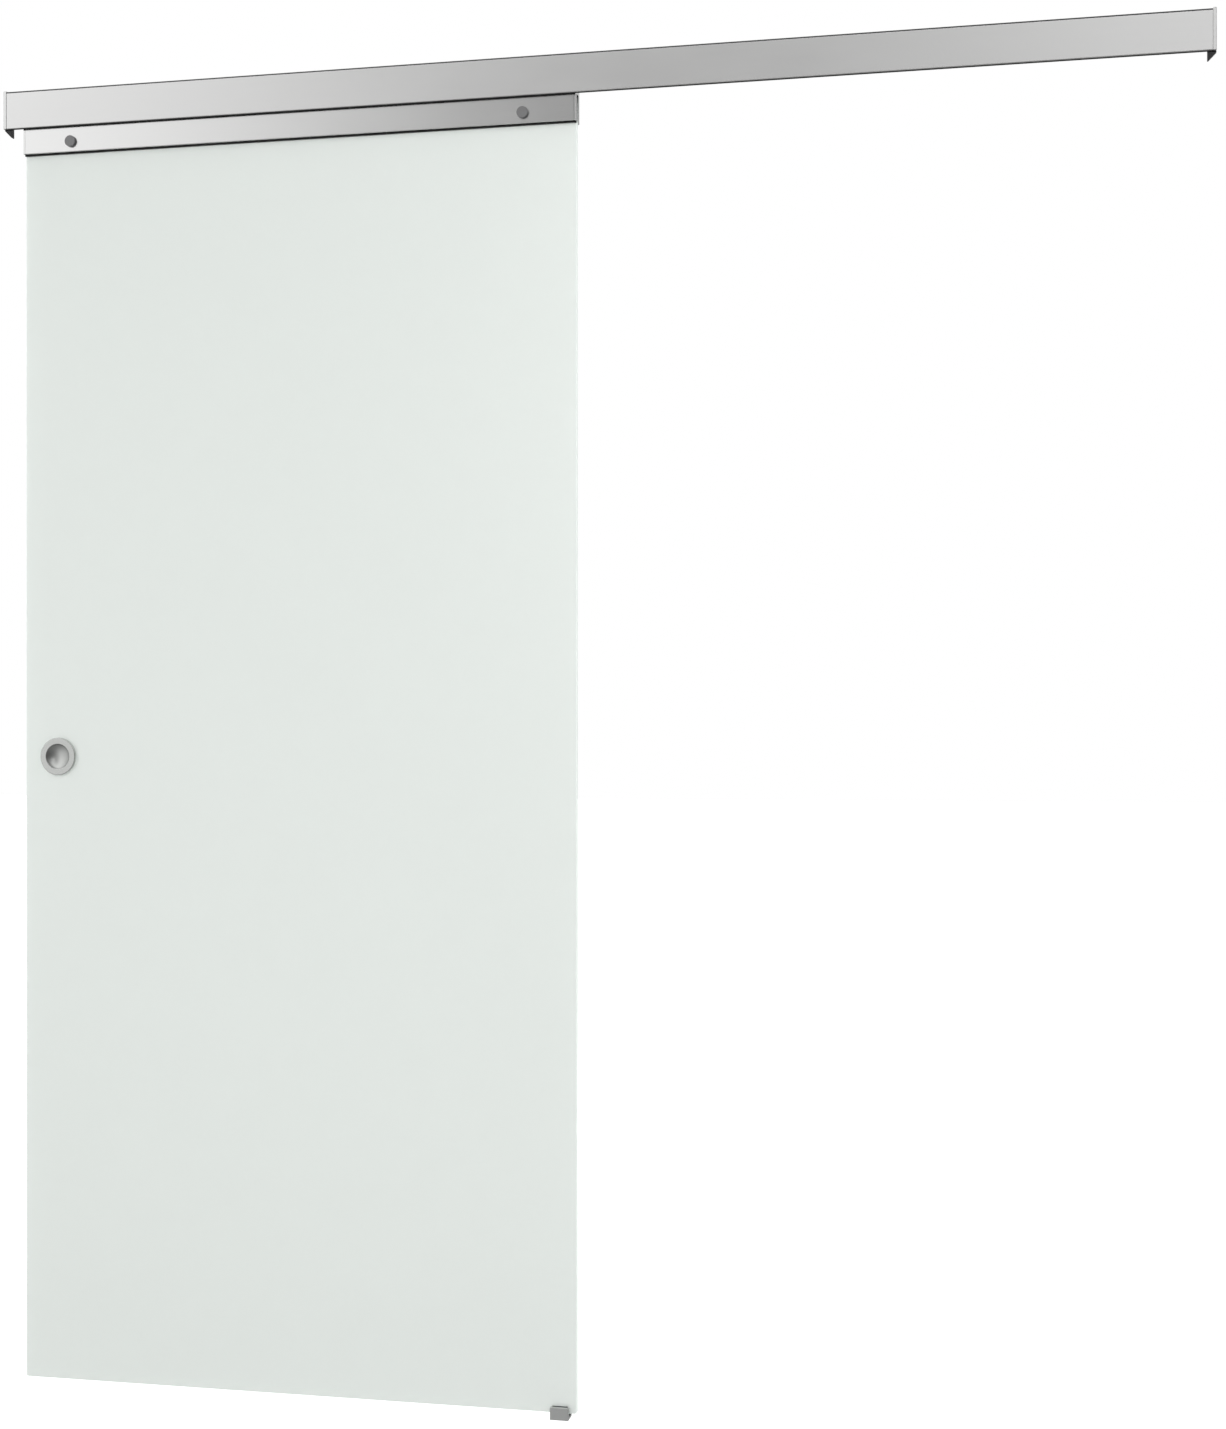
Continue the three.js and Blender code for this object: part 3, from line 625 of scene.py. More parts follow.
fascia_outline = rounded([
    (fascia_low.y, fascia_low.z, foot_round),
    (fascia_low.y, fascia_high.z, fascia_round),
    (fascia_high.y, fascia_high.z, 0.4 * MM),
    (fascia_high.y, hook_under, 0.4 * MM),
    (fascia_inner, hook_under, fascia_round - fascia_wall),
    (fascia_inner, snap_middle + snap_half),
    (fascia_inner + gap + snap_half, snap_middle, 0.3 * MM),
    (fascia_inner, snap_middle - snap_half),
    (fascia_inner, fascia_low.z + fascia_wall, 0.3 * MM),
    (fascia_lip, fascia_low.z + fascia_wall, 0.4 * MM),
    (fascia_lip, fascia_low.z, 0.4 * MM),
], steps=8)
fascia = extruded(
    "fascia", fascia_outline, "X", fascia_low.x, fascia_high.x, bevel=(0.15 * MM, 0.15 * MM))
dress(fascia, "fascia_cover", fascia_aluminium, painted_shade_black, painted_edge_shade)
# Inner faces take the painted shade black, and the front of the upper round takes the painted
# shade line.
for face in fascia.data.polygons:
    painted_shade_faces = face.center.y > fascia_inner and abs(face.normal.x) < 0.5
    painted_edge_faces = face.center.z > hook_under - fascia_round and face.normal.y < -0.2
    if painted_shade_faces and face.normal.z < 0.5:
        face.material_index = 1
    elif painted_edge_faces and face.normal.z > 0.15:
        face.material_index = 2

# A black strip under the fascia's lower edge, put there as painted shade for the slot above the
# clamp.
shade_bead_outline = rounded([
    (fascia_inner, fascia_low.z, 0.1 * MM),
    (fascia_lip - gap, fascia_low.z, 0.1 * MM),
    (fascia_lip - gap, fascia_low.z - shade_bead_height, 0.3 * MM),
    (fascia_inner, fascia_low.z - shade_bead_height, 0.3 * MM),
], steps=4)
shade_bead = extruded("shade_bead", shade_bead_outline, "X", fascia_low.x + MM, fascia_high.x - MM)
shade_bead.data.materials.append(black_rubber)
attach(shade_bead, body_of["fascia_cover"])
print("fascia", round((fascia_high.x - fascia_low.x) / MM), "mm long")

# %% [markdown]
# ## The rail
# The rail is a box section with a slot below. It is hidden from the room but seen from behind,
# below and above, so it has the same rounded edges, a groove for the snap rib, holes for the
# wall screws with room for the screwdriver in front of them, and holes for the feet's pegs.

# %% Rail
rail_wall = 3 * MM
edge_round = 0.8 * MM
door_plane = sum(v.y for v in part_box("glass_panel")) / 2
slot_half = 5 * MM
groove_half = snap_half + gap
groove_floor = rail_low.y + snap_half + gap
shelf_top = rail_low.z + rail_wall
screw_hole = 3 * MM
driver_hole = 6 * MM
foot_hole = 1.9 * MM
foot_peg = 1.6 * MM
foot_peg_in = 3.9 * MM
foot_peg_back = 5.2 * MM
rail_outline = rounded([
    (door_plane - slot_half, rail_low.z, 0.3 * MM),
    (rail_low.y, rail_low.z, edge_round),
    (rail_low.y, snap_middle - groove_half),
    (groove_floor, snap_middle - groove_half),
    (groove_floor, snap_middle + groove_half),
    (rail_low.y, snap_middle + groove_half),
    (rail_low.y, rail_high.z, edge_round),
    (rail_high.y, rail_high.z, edge_round),
    (rail_high.y, rail_low.z, edge_round),
    (door_plane + slot_half, rail_low.z, 0.3 * MM),
    (door_plane + slot_half, shelf_top, 0.3 * MM),
    (rail_high.y - rail_wall, shelf_top, 0.5 * MM),
    (rail_high.y - rail_wall, rail_high.z - rail_wall, 0.5 * MM),
    (rail_low.y + rail_wall, rail_high.z - rail_wall, 0.5 * MM),
    (rail_low.y + rail_wall, shelf_top, 0.5 * MM),
    (door_plane - slot_half, shelf_top, 0.3 * MM),
], steps=4)
rail = extruded("rail", rail_outline, "X", rail_low.x, rail_high.x)


def foot_axis(side):
    """The upright axis of a foot's peg and of its hole in the rail."""
    low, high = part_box(f"end_wedge_{side}")
    along = low.x + foot_peg_in if side == "right" else high.x - foot_peg_in
    return Vector((along, rail_low.y + foot_peg_back, 0))


wall_screws = sorted(n for n in body_of if n.startswith("wall_screw"))
rail_cutters = []
for node in wall_screws:
    axis = axis_of(node, "Y")
    rail_cutters.append(pin("hole", screw_hole, "Y", -2 * rail_wall, rail_wall, axis))
    rail_cutters.append(pin("hole", driver_hole, "Y", rail_low.y - rail_wall,
                            rail_low.y + 2 * rail_wall, axis, 40))
for side in SIDES:
    rail_cutters.append(pin("hole", foot_hole, "Z", rail_low.z - MM, shelf_top + MM,
                            foot_axis(side), 16))
carved(rail, rail_cutters)
dress(rail, "track_rail", rail_aluminium)
print("rail with", len(rail_cutters), "holes")

# %% [markdown]
# ## End caps and feet
# A plate in the same satin finish closes each end of the rail and the fascia together. It stands
# a little proud, so the cut ends stay hidden, and its outer edge is soft. Below it sits a dark
# foot with a sloping outer side, pushed up into the rail on a peg.

# %% End caps
cap_round = 1.2 * MM
cap_tongue = 10.5 * MM
peg_width = 6 * MM


def end_cap(side):
    node = f"end_cap_{side}"
    low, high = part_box(node)
    inner = rail_high.x + gap
    plate = rounded([
        (low.y, low.z, cap_round),
        (low.y, high.z, cap_round),
        (high.y, high.z, cap_round),
        (high.y, rail_low.z - gap, cap_round),
        (low.y + cap_tongue, rail_low.z - gap, 0.8 * MM),
        (low.y + cap_tongue, low.z, cap_round),
    ])
    span = (inner, high.x) if side == "right" else (low.x, -inner)
    edge = (0, 0.7 * MM) if side == "right" else (0.7 * MM, 0)
    piece = extruded(f"cap_{side}", plate, "X", *span, bevel=edge)
    peg_top = rail_high.z - rail_wall - gap
    pegs = []
    for front in (rail_low.y + rail_wall + gap, -rail_wall - gap - peg_width):
        reach = (low.x, inner + MM) if side == "right" else (-inner - MM, high.x)
        peg = block("peg", (reach[0], front, peg_top - peg_width),
                    (reach[1], front + peg_width, peg_top))
        pegs.append(eased(peg, 0.4 * MM))
    joined(piece, pegs)
    dress(piece, node, fascia_aluminium)


def foot(side):
    node = f"end_wedge_{side}"
    low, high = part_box(node)
    sign = 1 if side == "right" else -1
    tip = high.x if side == "right" else low.x
    inner = low.x if side == "right" else high.x
    rail_end = sign * (rail_high.x - gap)
    top = rail_low.z - gap
    under = fascia_low.z - 2 * gap
    outline = rounded([
        (rail_end, top, 0.3 * MM),
        (inner, top, 0.3 * MM),
        (inner, low.z, 0.8 * MM),
        (inner + sign * 1.5 * MM, low.z, 0.8 * MM),
        (tip, under - 0.6 * MM, 0.5 * MM),
        (tip, under, 0.3 * MM),
        (rail_end, under),
    ], steps=4)
    edge = 0.5 * MM
    piece = extruded(f"foot_{side}", outline, "Y", low.y, high.y, bevel=(edge, edge))
    joined(piece, [pin("peg", foot_peg, "Z", top - MM, high.z, foot_axis(side), 24)])
    dress(piece, node, dark_plastic)


for side in SIDES:
    end_cap(side)
    foot(side)
print("end caps and feet made")

# %% [markdown]
# ## The clamp rail
# Two jaws grip the top of the glass along its whole width. Between each jaw and the glass lies a
# rubber strip whose lip shows as a black line under the jaw. The front jaw is counterbored for
# the clamp screws. A channel cut in both jaws takes the square head of each hanger bolt.

# %% Jaws
glass_low, glass_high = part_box("glass_panel")
glass_half = (glass_high.y - glass_low.y) / 2
clamp_screws = ("clamp_screw_left", "clamp_screw_right")
jaw_low, jaw_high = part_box("clamp_jaw_front")
jaw_outer = door_plane - jaw_low.y
jaw_inner = jaw_outer - 8 * MM
channel_top = jaw_high.z - 3 * MM
channel_floor = channel_top - 5.6 * MM
channel_mouth = 4.9 * MM
channel_undercut = 1.2 * MM
jaw_round = 1.1 * MM
bolt_hole = 4.3 * MM
counterbore = 6.8 * MM
counterbore_depth = 5.4 * MM
web = 1.4 * MM
lip_width = 4.7 * MM
lip_height = 1.5 * MM


def screw_axis(node):
    low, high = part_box(node)
    middle = (low + high) / 2
    return Vector((middle.x, door_plane, middle.z))


def aside(side, corners, soft=0.0):
    """Corners given by their distance from the pane's middle plane. side is -1 towards the room
    and 1 towards the wall, and soft is the radius of a corner that has none of its own."""
    return [(door_plane + side * distance, z, *(radius or [soft]))
            for distance, z, *radius in corners]


def jaw(name, side):
    low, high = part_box(f"clamp_jaw_{name}")
    outline = rounded(aside(side, [
        (jaw_inner, low.z),
        (jaw_outer, low.z, jaw_round),
        (jaw_outer, high.z, jaw_round),
        (channel_mouth, high.z),
        (channel_mouth, channel_top),
        (jaw_inner + channel_undercut, channel_top),
        (jaw_inner + channel_undercut, channel_floor),
        (jaw_inner, channel_floor),
    ], soft=0.3 * MM), steps=6)
    piece = extruded(f"jaw_{name}", outline, "X", low.x, high.x)
    cutters = []
    for screw in clamp_screws:
        axis = screw_axis(screw)
        far = side * (jaw_outer + MM)
        near = side * (jaw_inner - MM)
        cutters.append(pin("hole", bolt_hole, "Y", min(near, far), max(near, far), axis))
        if side < 0:
            floor = -(jaw_outer - counterbore_depth)
            cutters.append(pin("hole", counterbore, "Y", -jaw_outer - MM, floor, axis, 48))
    carved(piece, cutters)
    dress(piece, f"clamp_jaw_{name}", clamp_aluminium)


def strip(name, side):
    """The rubber strip of one jaw: a web with fine ridges on the glass, and a rounded lip."""
    node = f"clamp_gasket_{name}"
    low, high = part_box(node)
    inner = glass_half + gap
    outer = inner + web
    lip_top = low.z + lip_height
    corners = [
        (inner, low.z, 0.5 * MM),
        (inner + lip_width, low.z, 0.7 * MM),
        (inner + lip_width, lip_top, 0.5 * MM),
        (outer, lip_top),
        (outer, high.z, 0.4 * MM),
        (inner, high.z, 0.4 * MM),
    ]
    ridge_count = 6
    ridge_step = (high.z - lip_top - 4 * MM) / ridge_count
    for i in range(ridge_count):
        crest = high.z - 2 * MM - i * ridge_step
        corners.append((inner, crest))
        corners.append((inner + 0.4 * MM, crest - 0.7 * MM, 0.2 * MM))
        corners.append((inner, crest - 1.4 * MM))
    outline = rounded(aside(side, corners), steps=4)
    piece = extruded(f"strip_{name}", outline, "X", low.x, high.x)
    dress(piece, node, black_rubber)


for name, side in HALVES:
    jaw(name, side)
    strip(name, side)
print("clamp jaws and rubber strips made")

# %% [markdown]
# ## Clamp end caps and screw covers
# A thin plate closes each end of the clamp, open below for the glass. Each clamp screw hides
# under a round grey cover: a shallow disc with a soft rim and a very slight dish in its face,
# which keeps the reflection from looking dead flat.

# %% Clamp caps
def clamp_cap(side):
    node = f"clamp_end_cap_{side}"
    low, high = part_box(node)
    outline = rounded([
        (low.y, low.z, 0.9 * MM),
        (low.y, high.z, 0.9 * MM),
        (high.y, high.z, 0.9 * MM),
        (high.y, low.z, 0.9 * MM),
        (door_plane + jaw_inner, low.z, 0.3 * MM),
        (door_plane + jaw_inner, channel_floor, 0.3 * MM),
        (door_plane - jaw_inner, channel_floor, 0.3 * MM),
        (door_plane - jaw_inner, low.z, 0.3 * MM),
    ], steps=5)
    thickness = 3 * MM
    if side == "right":
        span, edge = (high.x - thickness, high.x), (0, 0.4 * MM)
        reach = (low.x, high.x - thickness + MM)
    else:
        span, edge = (low.x, low.x + thickness), (0.4 * MM, 0)
        reach = (low.x + thickness - MM, high.x)
    piece = extruded(f"clamp_cap_{side}", outline, "X", *span, bevel=edge)
    half = channel_mouth - gap
    peg = block("peg", (reach[0], door_plane - half, channel_floor + MM),
                (reach[1], door_plane + half, channel_top - gap))
    joined(piece, [eased(peg, 0.4 * MM)])
    dress(piece, node, clamp_aluminium)


def screw_cover(side):
    node = f"screw_cap_{side}"
    low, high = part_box(node)
    radius = (high.x - low.x) / 2
    axis = axis_of(node, "Y")
    back = door_plane - jaw_outer - gap
    profile = rounded([
        (0, low.y + 0.25 * MM),
        (radius - 2.4 * MM, low.y + 0.18 * MM, 2 * MM),
        (radius - 1.7 * MM, low.y, 0.5 * MM),
        (radius, low.y, 0.9 * MM),
        (radius, back, 0.3 * MM),
        (2.6 * MM, back),
        (2.6 * MM, high.y, 0.4 * MM),
        (0, high.y),
    ], steps=6, closed=False)
    piece = turned(f"cover_{side}", profile, "Y", axis, 96)
    dress(piece, node, cap_grey)


for side in SIDES:
    clamp_cap(side)
    screw_cover(side)
print("clamp caps and screw covers made")

# %% [markdown]
# ## The pane
# The pane is a plate with rounded corners and a polished chamfer all round. The holes for the
# clamp screws and the pull are drilled before toughening. The two large faces take the etched
# finish, and every other face, the drilled walls included, takes the polished one.

# %% Pane
chamfer = 0.8 * MM
corner = 3 * MM
pane_outline = rounded([
    (glass_low.x, glass_low.z, corner),
    (glass_high.x, glass_low.z, corner),
    (glass_high.x, glass_high.z, corner),
    (glass_low.x, glass_high.z, corner),
], steps=8)
pane = extruded("pane", pane_outline, "Y", glass_low.y, glass_high.y, bevel=(chamfer, chamfer))
pull_low, pull_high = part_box("pull_cup_front")
pull_centre = (pull_low + pull_high) / 2
pull_axis = Vector((pull_centre.x, door_plane, pull_centre.z))
screw_drill = 7 * MM
pull_drill = 26.3 * MM
drill_reach = 10 * MM
drills = [pin("drill", screw_drill, "Y", -drill_reach, drill_reach, screw_axis(screw), 48)
          for screw in clamp_screws]
drills.append(pin("drill", pull_drill, "Y", -drill_reach, drill_reach, pull_axis, 96))
carved(pane, drills)
dress(pane, "glass_panel", frosted_glass, glass_edge)
for face in pane.data.polygons:
    large = abs(face.normal.y) > 0.99
    face.material_index = 0 if large else 1
print("pane", [round(v / MM) for v in (glass_high - glass_low)], "mm")

# %% [markdown]
# ## The flush pull
# Each half is turned from a steel bar. A flat flange seats on the glass, a soft lip leads the
# fingers in, and the dish is part of a sphere. The lathe is the honest way to make it here too.
# A thin black rubber washer keeps steel off glass.

# %% Pull
pull_radius = (pull_high.x - pull_low.x) / 2
mouth_radius = 20 * MM
pull_steel = turned_steel("pull_steel", pull_axis, (0.572, 0.583, 0.568), 0.22, mouth_radius, 0.36)
lip_radius = 1.2 * MM
sleeve_radius = 26 * MM
dish_floor = 1.3 * MM
dish_steps = 20


def pull_profile(seat, face):
    """From the middle of the glass outwards: sleeve, flange, lip and dish."""
    profile = rounded([
        (0, gap),
        (sleeve_radius, gap, 0.3 * MM),
        (sleeve_radius, seat),
        (pull_radius, seat, 0.2 * MM),
        (pull_radius, face, 1.1 * MM),
        (mouth_radius + lip_radius + 0.4 * MM, face),
    ], steps=6, closed=False)
    lip_bottom = face - lip_radius
    depth = lip_bottom - dish_floor
    sphere = (mouth_radius ** 2 + depth ** 2) / (2 * depth)
    for i in range(9):
        angle = i / 8 * math.radians(58)
        out = mouth_radius + lip_radius * (1 - math.sin(angle))
        profile.append(Vector((out, lip_bottom + lip_radius * math.cos(angle))))
    for i in range(dish_steps - 1, -1, -1):
        out = mouth_radius * i / dish_steps
        profile.append(Vector((out, dish_floor + sphere - math.sqrt(sphere ** 2 - out ** 2))))
    return profile


def pull_half(name, side):
    profile = pull_profile(glass_half + gap, glass_half + 5 * MM)
    points = [Vector((p.x, side * p.y)) for p in profile]
    piece = turned(f"pull_{name}", points, "Y", pull_axis, 128, sharp=40)
    dress(piece, f"pull_cup_{name}", pull_steel)


def pull_washer(name, side):
    inner, outer = sleeve_radius + 0.5 * MM, pull_radius - 0.5 * MM
    start, end = glass_half + 0.02 * MM, glass_half + gap - 0.02 * MM
    profile = rectangle((inner, side * start), (outer, side * end))
    piece = turned(f"pull_washer_{name}", profile, "Y", pull_axis, 96, closed=True)
    piece.data.materials.append(black_rubber)
    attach(piece, "door")


for name, side in HALVES:
    pull_half(name, side)
    pull_washer(name, side)
print("pull", round(2 * pull_radius / MM, 1), "mm across")

# %% [markdown]
# ## The floor guide
# A short aluminium channel stands on the floor, lined with nylon, and the glass slides between
# the liner's cheeks. Its outer upper corner is rounded and the inner one is left square, as seen
# from the room. The liner leans away from the glass at its top, to lead the pane in.

# %% Guide
guide_low, guide_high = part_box("guide_body")
liner_low, liner_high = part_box("guide_liner")
liner_outer = door_plane - liner_low.y
guide_inner = liner_outer + gap
guide_floor = guide_low.z + 4 * MM
guide_round = 3 * MM
guide_square = 0.6 * MM
guide_screws = ("guide_screw_1", "guide_screw_2")
guide_outline = rounded([
    (guide_low.x, guide_low.z, 0.4 * MM),
    (guide_high.x, guide_low.z, 0.4 * MM),
    (guide_high.x, guide_high.z, guide_round),
    (guide_low.x, guide_high.z, guide_square),
], steps=10)
guide_edge = 0.5 * MM
guide = extruded("guide", guide_outline, "Y", guide_low.y, guide_high.y,
                 bevel=(guide_edge, guide_edge))
guide_cutters = [block(
    "channel", (guide_low.x - MM, door_plane - guide_inner, guide_floor),
    (guide_high.x + MM, door_plane + guide_inner, guide_high.z + MM))]
for node in guide_screws:
    low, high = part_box(node)
    axis = Vector(((low.x + high.x) / 2, door_plane, 0))
    guide_cutters.append(pin("hole", 2.2 * MM, "Z", guide_low.z - MM, guide_floor + MM, axis))
    guide_cutters.append(pin("hole", 3.9 * MM, "Z", guide_floor - 2.8 * MM,
                             guide_floor + MM, axis))
carved(guide, guide_cutters)
eased(guide, 0.25 * MM)
dress(guide, "guide_body", guide_aluminium)

cheek = 2.4 * MM
lean = cheek / 2
liner_edge = 0.3 * MM
liner_half = [
    (liner_outer, liner_high.z), (liner_outer - lean, liner_high.z),
    (liner_outer - cheek, liner_high.z - 2 * lean), (liner_outer - cheek, liner_low.z + 1.5 * MM)]
liner_foot = [(liner_outer, liner_low.z)]
liner_corners = aside(-1, liner_foot, liner_edge) + aside(1, liner_foot + liner_half, liner_edge)
liner_corners += aside(-1, liner_half[::-1], liner_edge)
liner = extruded("liner", rounded(liner_corners, steps=4), "X", liner_low.x, liner_high.x,
                 bevel=(liner_edge, liner_edge))
dress(liner, "guide_liner", guide_nylon)
print("floor guide made")

# %% [markdown]
# ## Screws with real threads
# Behind the rail and under the guide the screws reach into wall and floor, and they are the first
# thing seen from the back. A thread is a radius that rises and falls along the shank and turns
# with the angle, so one formula makes the whole helix. The head has a crossed recess.

# %% Screws
def threaded(name, core, crest, pitch, start, end, point, axis, centre, steps=20):
    """A shank from start to end whose last stretch, point long, runs to a tip."""
    lift = AXES[axis]
    per_turn = 8
    rings = max(2, round(abs(end - start) / pitch * per_turn))
    points = [Vector(lift(0, 0, start)) + centre]
    for ring in range(rings + 1):
        along = start + (end - start) * ring / rings
        left = abs(end - along) / point if point else 1
        taper = min(1, 0.12 + 0.88 * left) if point else 1
        for step in range(steps):
            turn = step / steps
            phase = (abs(along - start) / pitch + turn) % 1
            rise = max(0, 1 - abs(phase - 0.5) * 3.2)
            radius = (core + (crest - core) * rise) * taper
            angle = 2 * math.pi * turn
            points.append(Vector(lift(
                radius * math.cos(angle), radius * math.sin(angle), along)) + centre)
    points.append(Vector(lift(0, 0, end)) + centre)
    faces = []
    for step in range(steps):
        there = (step + 1) % steps
        faces.append([0, 1 + there, 1 + step])
        last = 1 + rings * steps
        faces.append([last + step, last + there, len(points) - 1])
        for ring in range(rings):
            low, high = 1 + ring * steps, 1 + (ring + 1) * steps
            faces.append([low + step, low + there, high + there, high + step])
    return solid(name, points, faces, THREAD_ANGLE)


def cross_recess(axis, centre, face, depth, half_width, half_length):
    """Cutters for a crossed recess that opens at face and goes in by depth."""
    cutters = []
    for a, b in ((half_length, half_width), (half_width, half_length)):
        cutter = extruded("recess", rectangle((-a, -b), (a, b)), axis, min(face, face + depth),
                          max(face, face + depth))
        cutter.data.transform(Matrix.Translation(centre))
        cutters.append(cutter)
    return cutters


def wall_screw(node):
    low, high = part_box(node)
    axis = axis_of(node, "Y")
    head = (high.z - low.z) / 2
    head_back = low.y + 3 * MM
    shank = threaded(f"{node}_shank", 2.0 * MM, 2.7 * MM, 2.4 * MM, head_back - 0.2 * MM, high.y,
                     7 * MM, "Y", axis)
    profile = rounded([
        (0, low.y),
        (head - 1.4 * MM, low.y, 1.6 * MM),
        (head, head_back - 1.2 * MM, 0.6 * MM),
        (head, head_back, 0.2 * MM),
        (0, head_back),
    ], steps=6, closed=False)
    piece = turned(f"{node}_fine", profile, "Y", axis, 40)
    carved(piece, cross_recess("Y", axis, low.y - 0.1 * MM, 1.9 * MM, 0.55 * MM, 2.4 * MM))
    joined(piece, [shank], sharp=THREAD_ANGLE)
    dress(piece, node, zinc_steel)


def guide_screw(node):
    low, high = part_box(node)
    axis = axis_of(node, "Z")
    head = (high.x - low.x) / 2
    head_bottom = high.z - 2.2 * MM
    shank = threaded(f"{node}_shank", 1.35 * MM, 1.9 * MM, 1.6 * MM, head_bottom + 0.2 * MM, low.z,
                     5 * MM, "Z", axis)
    profile = rounded([
        (0, high.z),
        (head - 0.3 * MM, high.z, 0.2 * MM),
        (head, high.z - 0.5 * MM, 0.2 * MM),
        (1.9 * MM, head_bottom, 0.2 * MM),
        (0, head_bottom),
    ], steps=4, closed=False)
    piece = turned(f"{node}_fine", profile, "Z", axis, 40)
    carved(piece, cross_recess("Z", axis, high.z + 0.1 * MM, -1.4 * MM, 0.4 * MM, 1.8 * MM))
    joined(piece, [shank], sharp=THREAD_ANGLE)
    dress(piece, node, zinc_steel)


for node in wall_screws:
    wall_screw(node)
for node in guide_screws:
    guide_screw(node)
print("threaded screws:", len(wall_screws) + len(guide_screws))

# %% [markdown]
# ## Trolleys, wheels and hanger bolts
# Inside the rail each trolley is a steel block on four nylon wheels. The tyres are slightly
# crowned, each bearing shows its two races and a shield between them, and the axle heads are
# riveted domes. The hanger bolt is a T-head bolt with a lock nut.

# %% Running gear
bore = 2.8 * MM
axle_radius = 2.5 * MM


def wheel(tag):
    low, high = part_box(f"wheel_tyre_{tag}")
    centre = (low + high) / 2
    outer = (high.x - low.x) / 2
    half = (high.y - low.y) / 2
    bearing_low, bearing_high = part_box(f"wheel_bearing_{tag}")
    ring = (bearing_high.x - bearing_low.x) / 2
    ring_half = (bearing_high.y - bearing_low.y) / 2
    crown = 0.25 * MM
    tyre = rounded(mirrored([
        (ring + gap, -half, 0.2 * MM),
        (outer - crown, -half, 0.7 * MM),
        (outer, -half * 0.3, 2 * MM),
    ]), steps=4)
    piece = turned(f"tyre_{tag}", tyre, "Y", centre, 64, closed=True)
    dress(piece, f"wheel_tyre_{tag}", wheel_nylon)

    race = 1.3 * MM
    dip = 0.35 * MM
    races = rounded(mirrored([
        (bore, -ring_half, 0.2 * MM),
        (bore + race, -ring_half, 0.1 * MM),
        (bore + race, -ring_half + dip),
        (ring - race, -ring_half + dip),
        (ring - race, -ring_half, 0.1 * MM),
        (ring, -ring_half, 0.25 * MM),
    ]), steps=3)
    bearing = turned(f"bearing_{tag}", races, "Y", centre, 64, closed=True)
    dress(bearing, f"wheel_bearing_{tag}", bearing_steel)


def axle(node):
    low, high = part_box(node)
    centre = (low + high) / 2
    half = (high.y - low.y) / 2
    head = (high.x - low.x) / 2
    shoulder = half - 0.7 * MM
    profile = rounded(mirrored([
        (0, -half),
        (1.6 * MM, -half, 0.8 * MM),
        (head, -shoulder - 0.15 * MM, 0.2 * MM),
        (head, -shoulder),
        (axle_radius, -shoulder),
    ]), steps=4, closed=False)
    dress(turned(f"pin_{node}", profile, "Y", centre, 40), node, bearing_steel)


def trolley(side):
    node = f"trolley_body_{side}"
    low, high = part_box(node)
    slope = 4 * MM
    outline = rounded([
        (low.x, low.z, MM), (high.x, low.z, MM),
        (high.x, high.z - slope, MM), (high.x - slope, high.z, MM),
        (low.x + slope, high.z, MM), (low.x, high.z - slope, MM)], steps=4)
    piece = extruded(f"trolley_{side}", outline, "Y", low.y, high.y,
                     bevel=(0.4 * MM, 0.4 * MM))
    cutters = [pin("hole", bolt_hole, "Z", low.z - MM, high.z + MM, axis_of(node, "Z"), 40)]
    for end in "ab":
        a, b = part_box(f"axle_{side}_{end}")
        hub = (a + b) / 2
        cutters.append(pin("hole", bore, "Y", -15 * MM, 15 * MM, hub, 32))
    carved(piece, cutters)
    dress(piece, node, zinc_steel)


def hanger(side):
    node = f"hanger_bolt_{side}"
    low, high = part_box(node)
    axis = axis_of(node, "Z")
    head_top = low.z + 4.8 * MM
    head = eased(block(f"hanger_{side}", low, (high.x, high.y, head_top)), 0.5 * MM)
    shank = threaded("shank", 3.35 * MM, 4 * MM, 1.25 * MM, head_top - 0.5 * MM, high.z, 0, "Z",
                     axis, 24)
    joined(head, [shank], sharp=THREAD_ANGLE)
    dress(head, node, zinc_steel)

    nut_node = f"lock_nut_{side}"
    low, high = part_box(nut_node)
    corner = (high.y - low.y) / 2
    across = corner * math.sqrt(3) / 2
    points = [Vector((corner * math.sin(i * math.pi / 3), corner * math.cos(i * math.pi / 3)))
              for i in range(6)]
    nut = extruded(f"nut_{side}", points, "Z", low.z, high.z)
    nut.data.transform(Matrix.Translation(axis))
    waist = turned("waist", rounded([
        (0, low.z), (across, low.z), (corner + 0.2 * MM, low.z + 1.1 * MM),
        (corner + 0.2 * MM, high.z - 1.1 * MM), (across, high.z), (0, high.z)],
        closed=False), "Z", axis, 64)
    combined(nut, [waist], "INTERSECT")
    carved(nut, [pin("bore", bolt_hole, "Z", low.z - MM, high.z + MM, axis, 40)])
    dress(nut, nut_node, zinc_steel)


for side in SIDES:
    trolley(side)
    hanger(side)
    for end in "ab":
        axle(f"axle_{side}_{end}")
        for row in ("front", "back"):
            wheel(f"{side}_{end}_{row}")
print("running gear made")

# %% [markdown]
# ## What stays from the CAD model
# The stops inside the rail, their screws and buffers, and the clamp screws under their covers
# already have their true shape, so they keep it and only take a finish.

# %% Carried-over nodes
carried = {
    "stop_body": dark_plastic, "stop_buffer": black_rubber,
    "stop_screw": zinc_steel, "clamp_screw": zinc_steel}
for name, material in carried.items():
    for side in SIDES:
        for slot in frame["nodes"][f"{name}_{side}"].material_slots:
            slot.material = material
print("carried over:", len(SIDES) * len(carried))

# %% [markdown]
# ## Floor and light
# A white floor runs out to a white backdrop. Metal shows what surrounds it, so the light is
# drawn as a room: a bright ceiling in front, a bright left side, a dark strip and a bright one
# near the middle, a dark right side, and a grey wall behind. Only reflections see it. Matt
# surfaces see an even grey and large lamps, most of all one in front, whose shadows fall out of
# sight. The camera sees plain white.

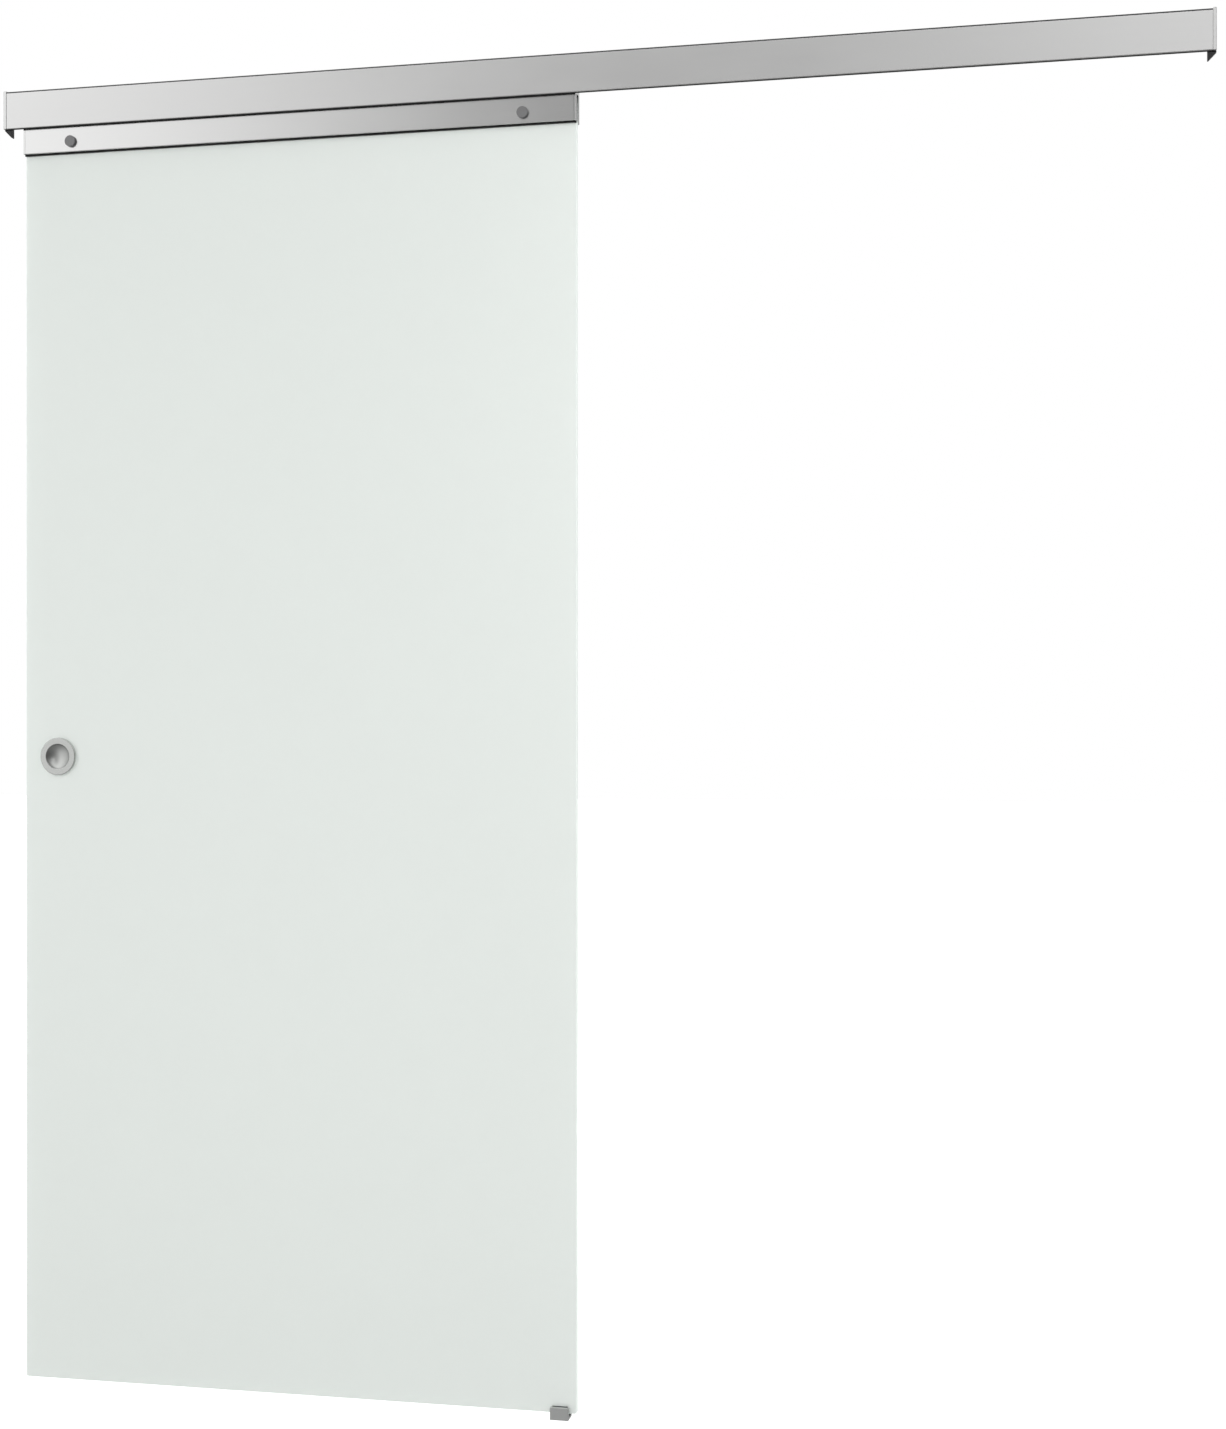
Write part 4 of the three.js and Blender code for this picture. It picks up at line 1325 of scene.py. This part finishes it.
# %% Floor
floor_level = guide_low.z
floor_half = 30.0
floor = solid("floor", [
    Vector((x * floor_half, y * floor_half, floor_level)) for x, y in (
        (-1, -1), (1, -1), (1, 1), (-1, 1))], [[0, 1, 2, 3]])
floor_paint, f, place = new_material("floor_paint")
speckle = f.noise(place, 40, detail=3)
f.surface(
    Base_Color=f.blend(speckle, (0.90, 0.90, 0.90), (0.92, 0.92, 0.92)),
    Roughness=0.8 + speckle * 0.1,
    Emission_Color=(1.0, 1.0, 1.0),
    Emission_Strength=1.0)
floor.data.materials.append(floor_paint)
floor.visible_glossy = False
floor.visible_diffuse = False

# %% World
world = bpy.data.worlds.new("studio")
bpy.context.scene.world = world
world.use_nodes = True
f = Finish(world.node_tree)
direction = f.node("ShaderNodeTexCoord", output="Generated")
right, away, up = f.split(direction)
bearing = right.math("ARCTAN2", right, 0 - away)
turn = bearing / (2 * math.pi) + 0.5


def grey(level):
    return (level, level, level)


def at_bearing(degrees):
    return degrees / 360 + 0.5


def by_bearing(*levels):
    """Brightness all round, from (degrees, level) pairs. 0 is the room side and 90 the right."""
    stops = [(at_bearing(degrees), grey(level)) for degrees, level in levels]
    return f.node("ShaderNodeValToRGB", {"stops": stops}, {"Fac": turn})


def by_height(low, high):
    """0 below one elevation and 1 above another, both in degrees."""
    stops = [(math.sin(math.radians(elevation)) / 2 + 0.5, grey(level))
             for elevation, level in ((low, 0), (high, 1))]
    return f.node("ShaderNodeValToRGB", {"stops": stops}, {"Fac": up * 0.5 + 0.5})


upper = by_bearing(
    (-150, 0.65), (-100, 0.70), (-60, 1.00), (-34, 1.36), (-26, 1.14), (-20, 0.77),
    (-14, 0.14), (-7, 0.10), (-1, 0.78), (6, 1.62), (13, 1.45), (20, 0.25), (70, 0.20),
    (100, 0.60), (150, 0.65))
lower = by_bearing(
    (-150, 0.65), (-100, 0.72), (-60, 0.82), (-34, 1.00), (-24, 0.96), (-14, 0.52), (0, 0.22),
    (22, 0.10), (70, 0.08), (100, 0.60), (150, 0.65))
behind = f.node("ShaderNodeValToRGB", {"stops": [(0.17, grey(0)), (0.30, grey(1))]}, {
    "Fac": (away + right * 1.2) * 0.5 + 0.5})
ceiling = f.blend(behind, grey(1.3), grey(0.40))
sides = f.blend(by_height(4, 16), lower, upper)
overhead = f.blend(by_height(32, 50), sides, ceiling)
whole = f.blend(by_height(-50, -12), grey(0.24), overhead)
matt = f.node("ShaderNodeLightPath", output="Is Diffuse Ray")
seen = f.node("ShaderNodeLightPath", output="Is Camera Ray")
lit = f.blend(matt, whole, grey(0.40))
shown = f.blend(seen, lit, grey(1.0))
background = f.node("ShaderNodeBackground", None, {"Color": shown, "Strength": 1.0})
f.node("ShaderNodeOutputWorld", None, {"Surface": background})


# %% Lamps
def lamp(name, place, aim, size, power):
    light = bpy.data.lights.new(name, "AREA")
    light.shape = "RECTANGLE"
    light.size, light.size_y = size
    light.energy = power
    holder = bpy.data.objects.new(name, light)
    holder.location = place
    holder.rotation_euler = (Vector(aim) - Vector(place)).to_track_quat("-Z", "Y").to_euler()
    bpy.context.scene.collection.objects.link(holder)
    holder.visible_glossy = False


lamp("front", (-0.2, -4.5, -0.9), (-0.2, 0, -0.9), (3.0, 3.0), 111)
lamp("right", (3.2, -2.6, -0.4), (0, 0, -1.0), (2.0, 2.0), 30)
lamp("left", (-3.2, -2.6, 0.2), (-0.4, 0, -1.0), (2.0, 2.0), 26)
lamp("back", (0.5, 3.5, 0.4), (0, 0, -1.0), (2.5, 2.5), 75)
bpy.context.scene.view_settings.view_transform = "Standard"
print("floor, world and lamps made")
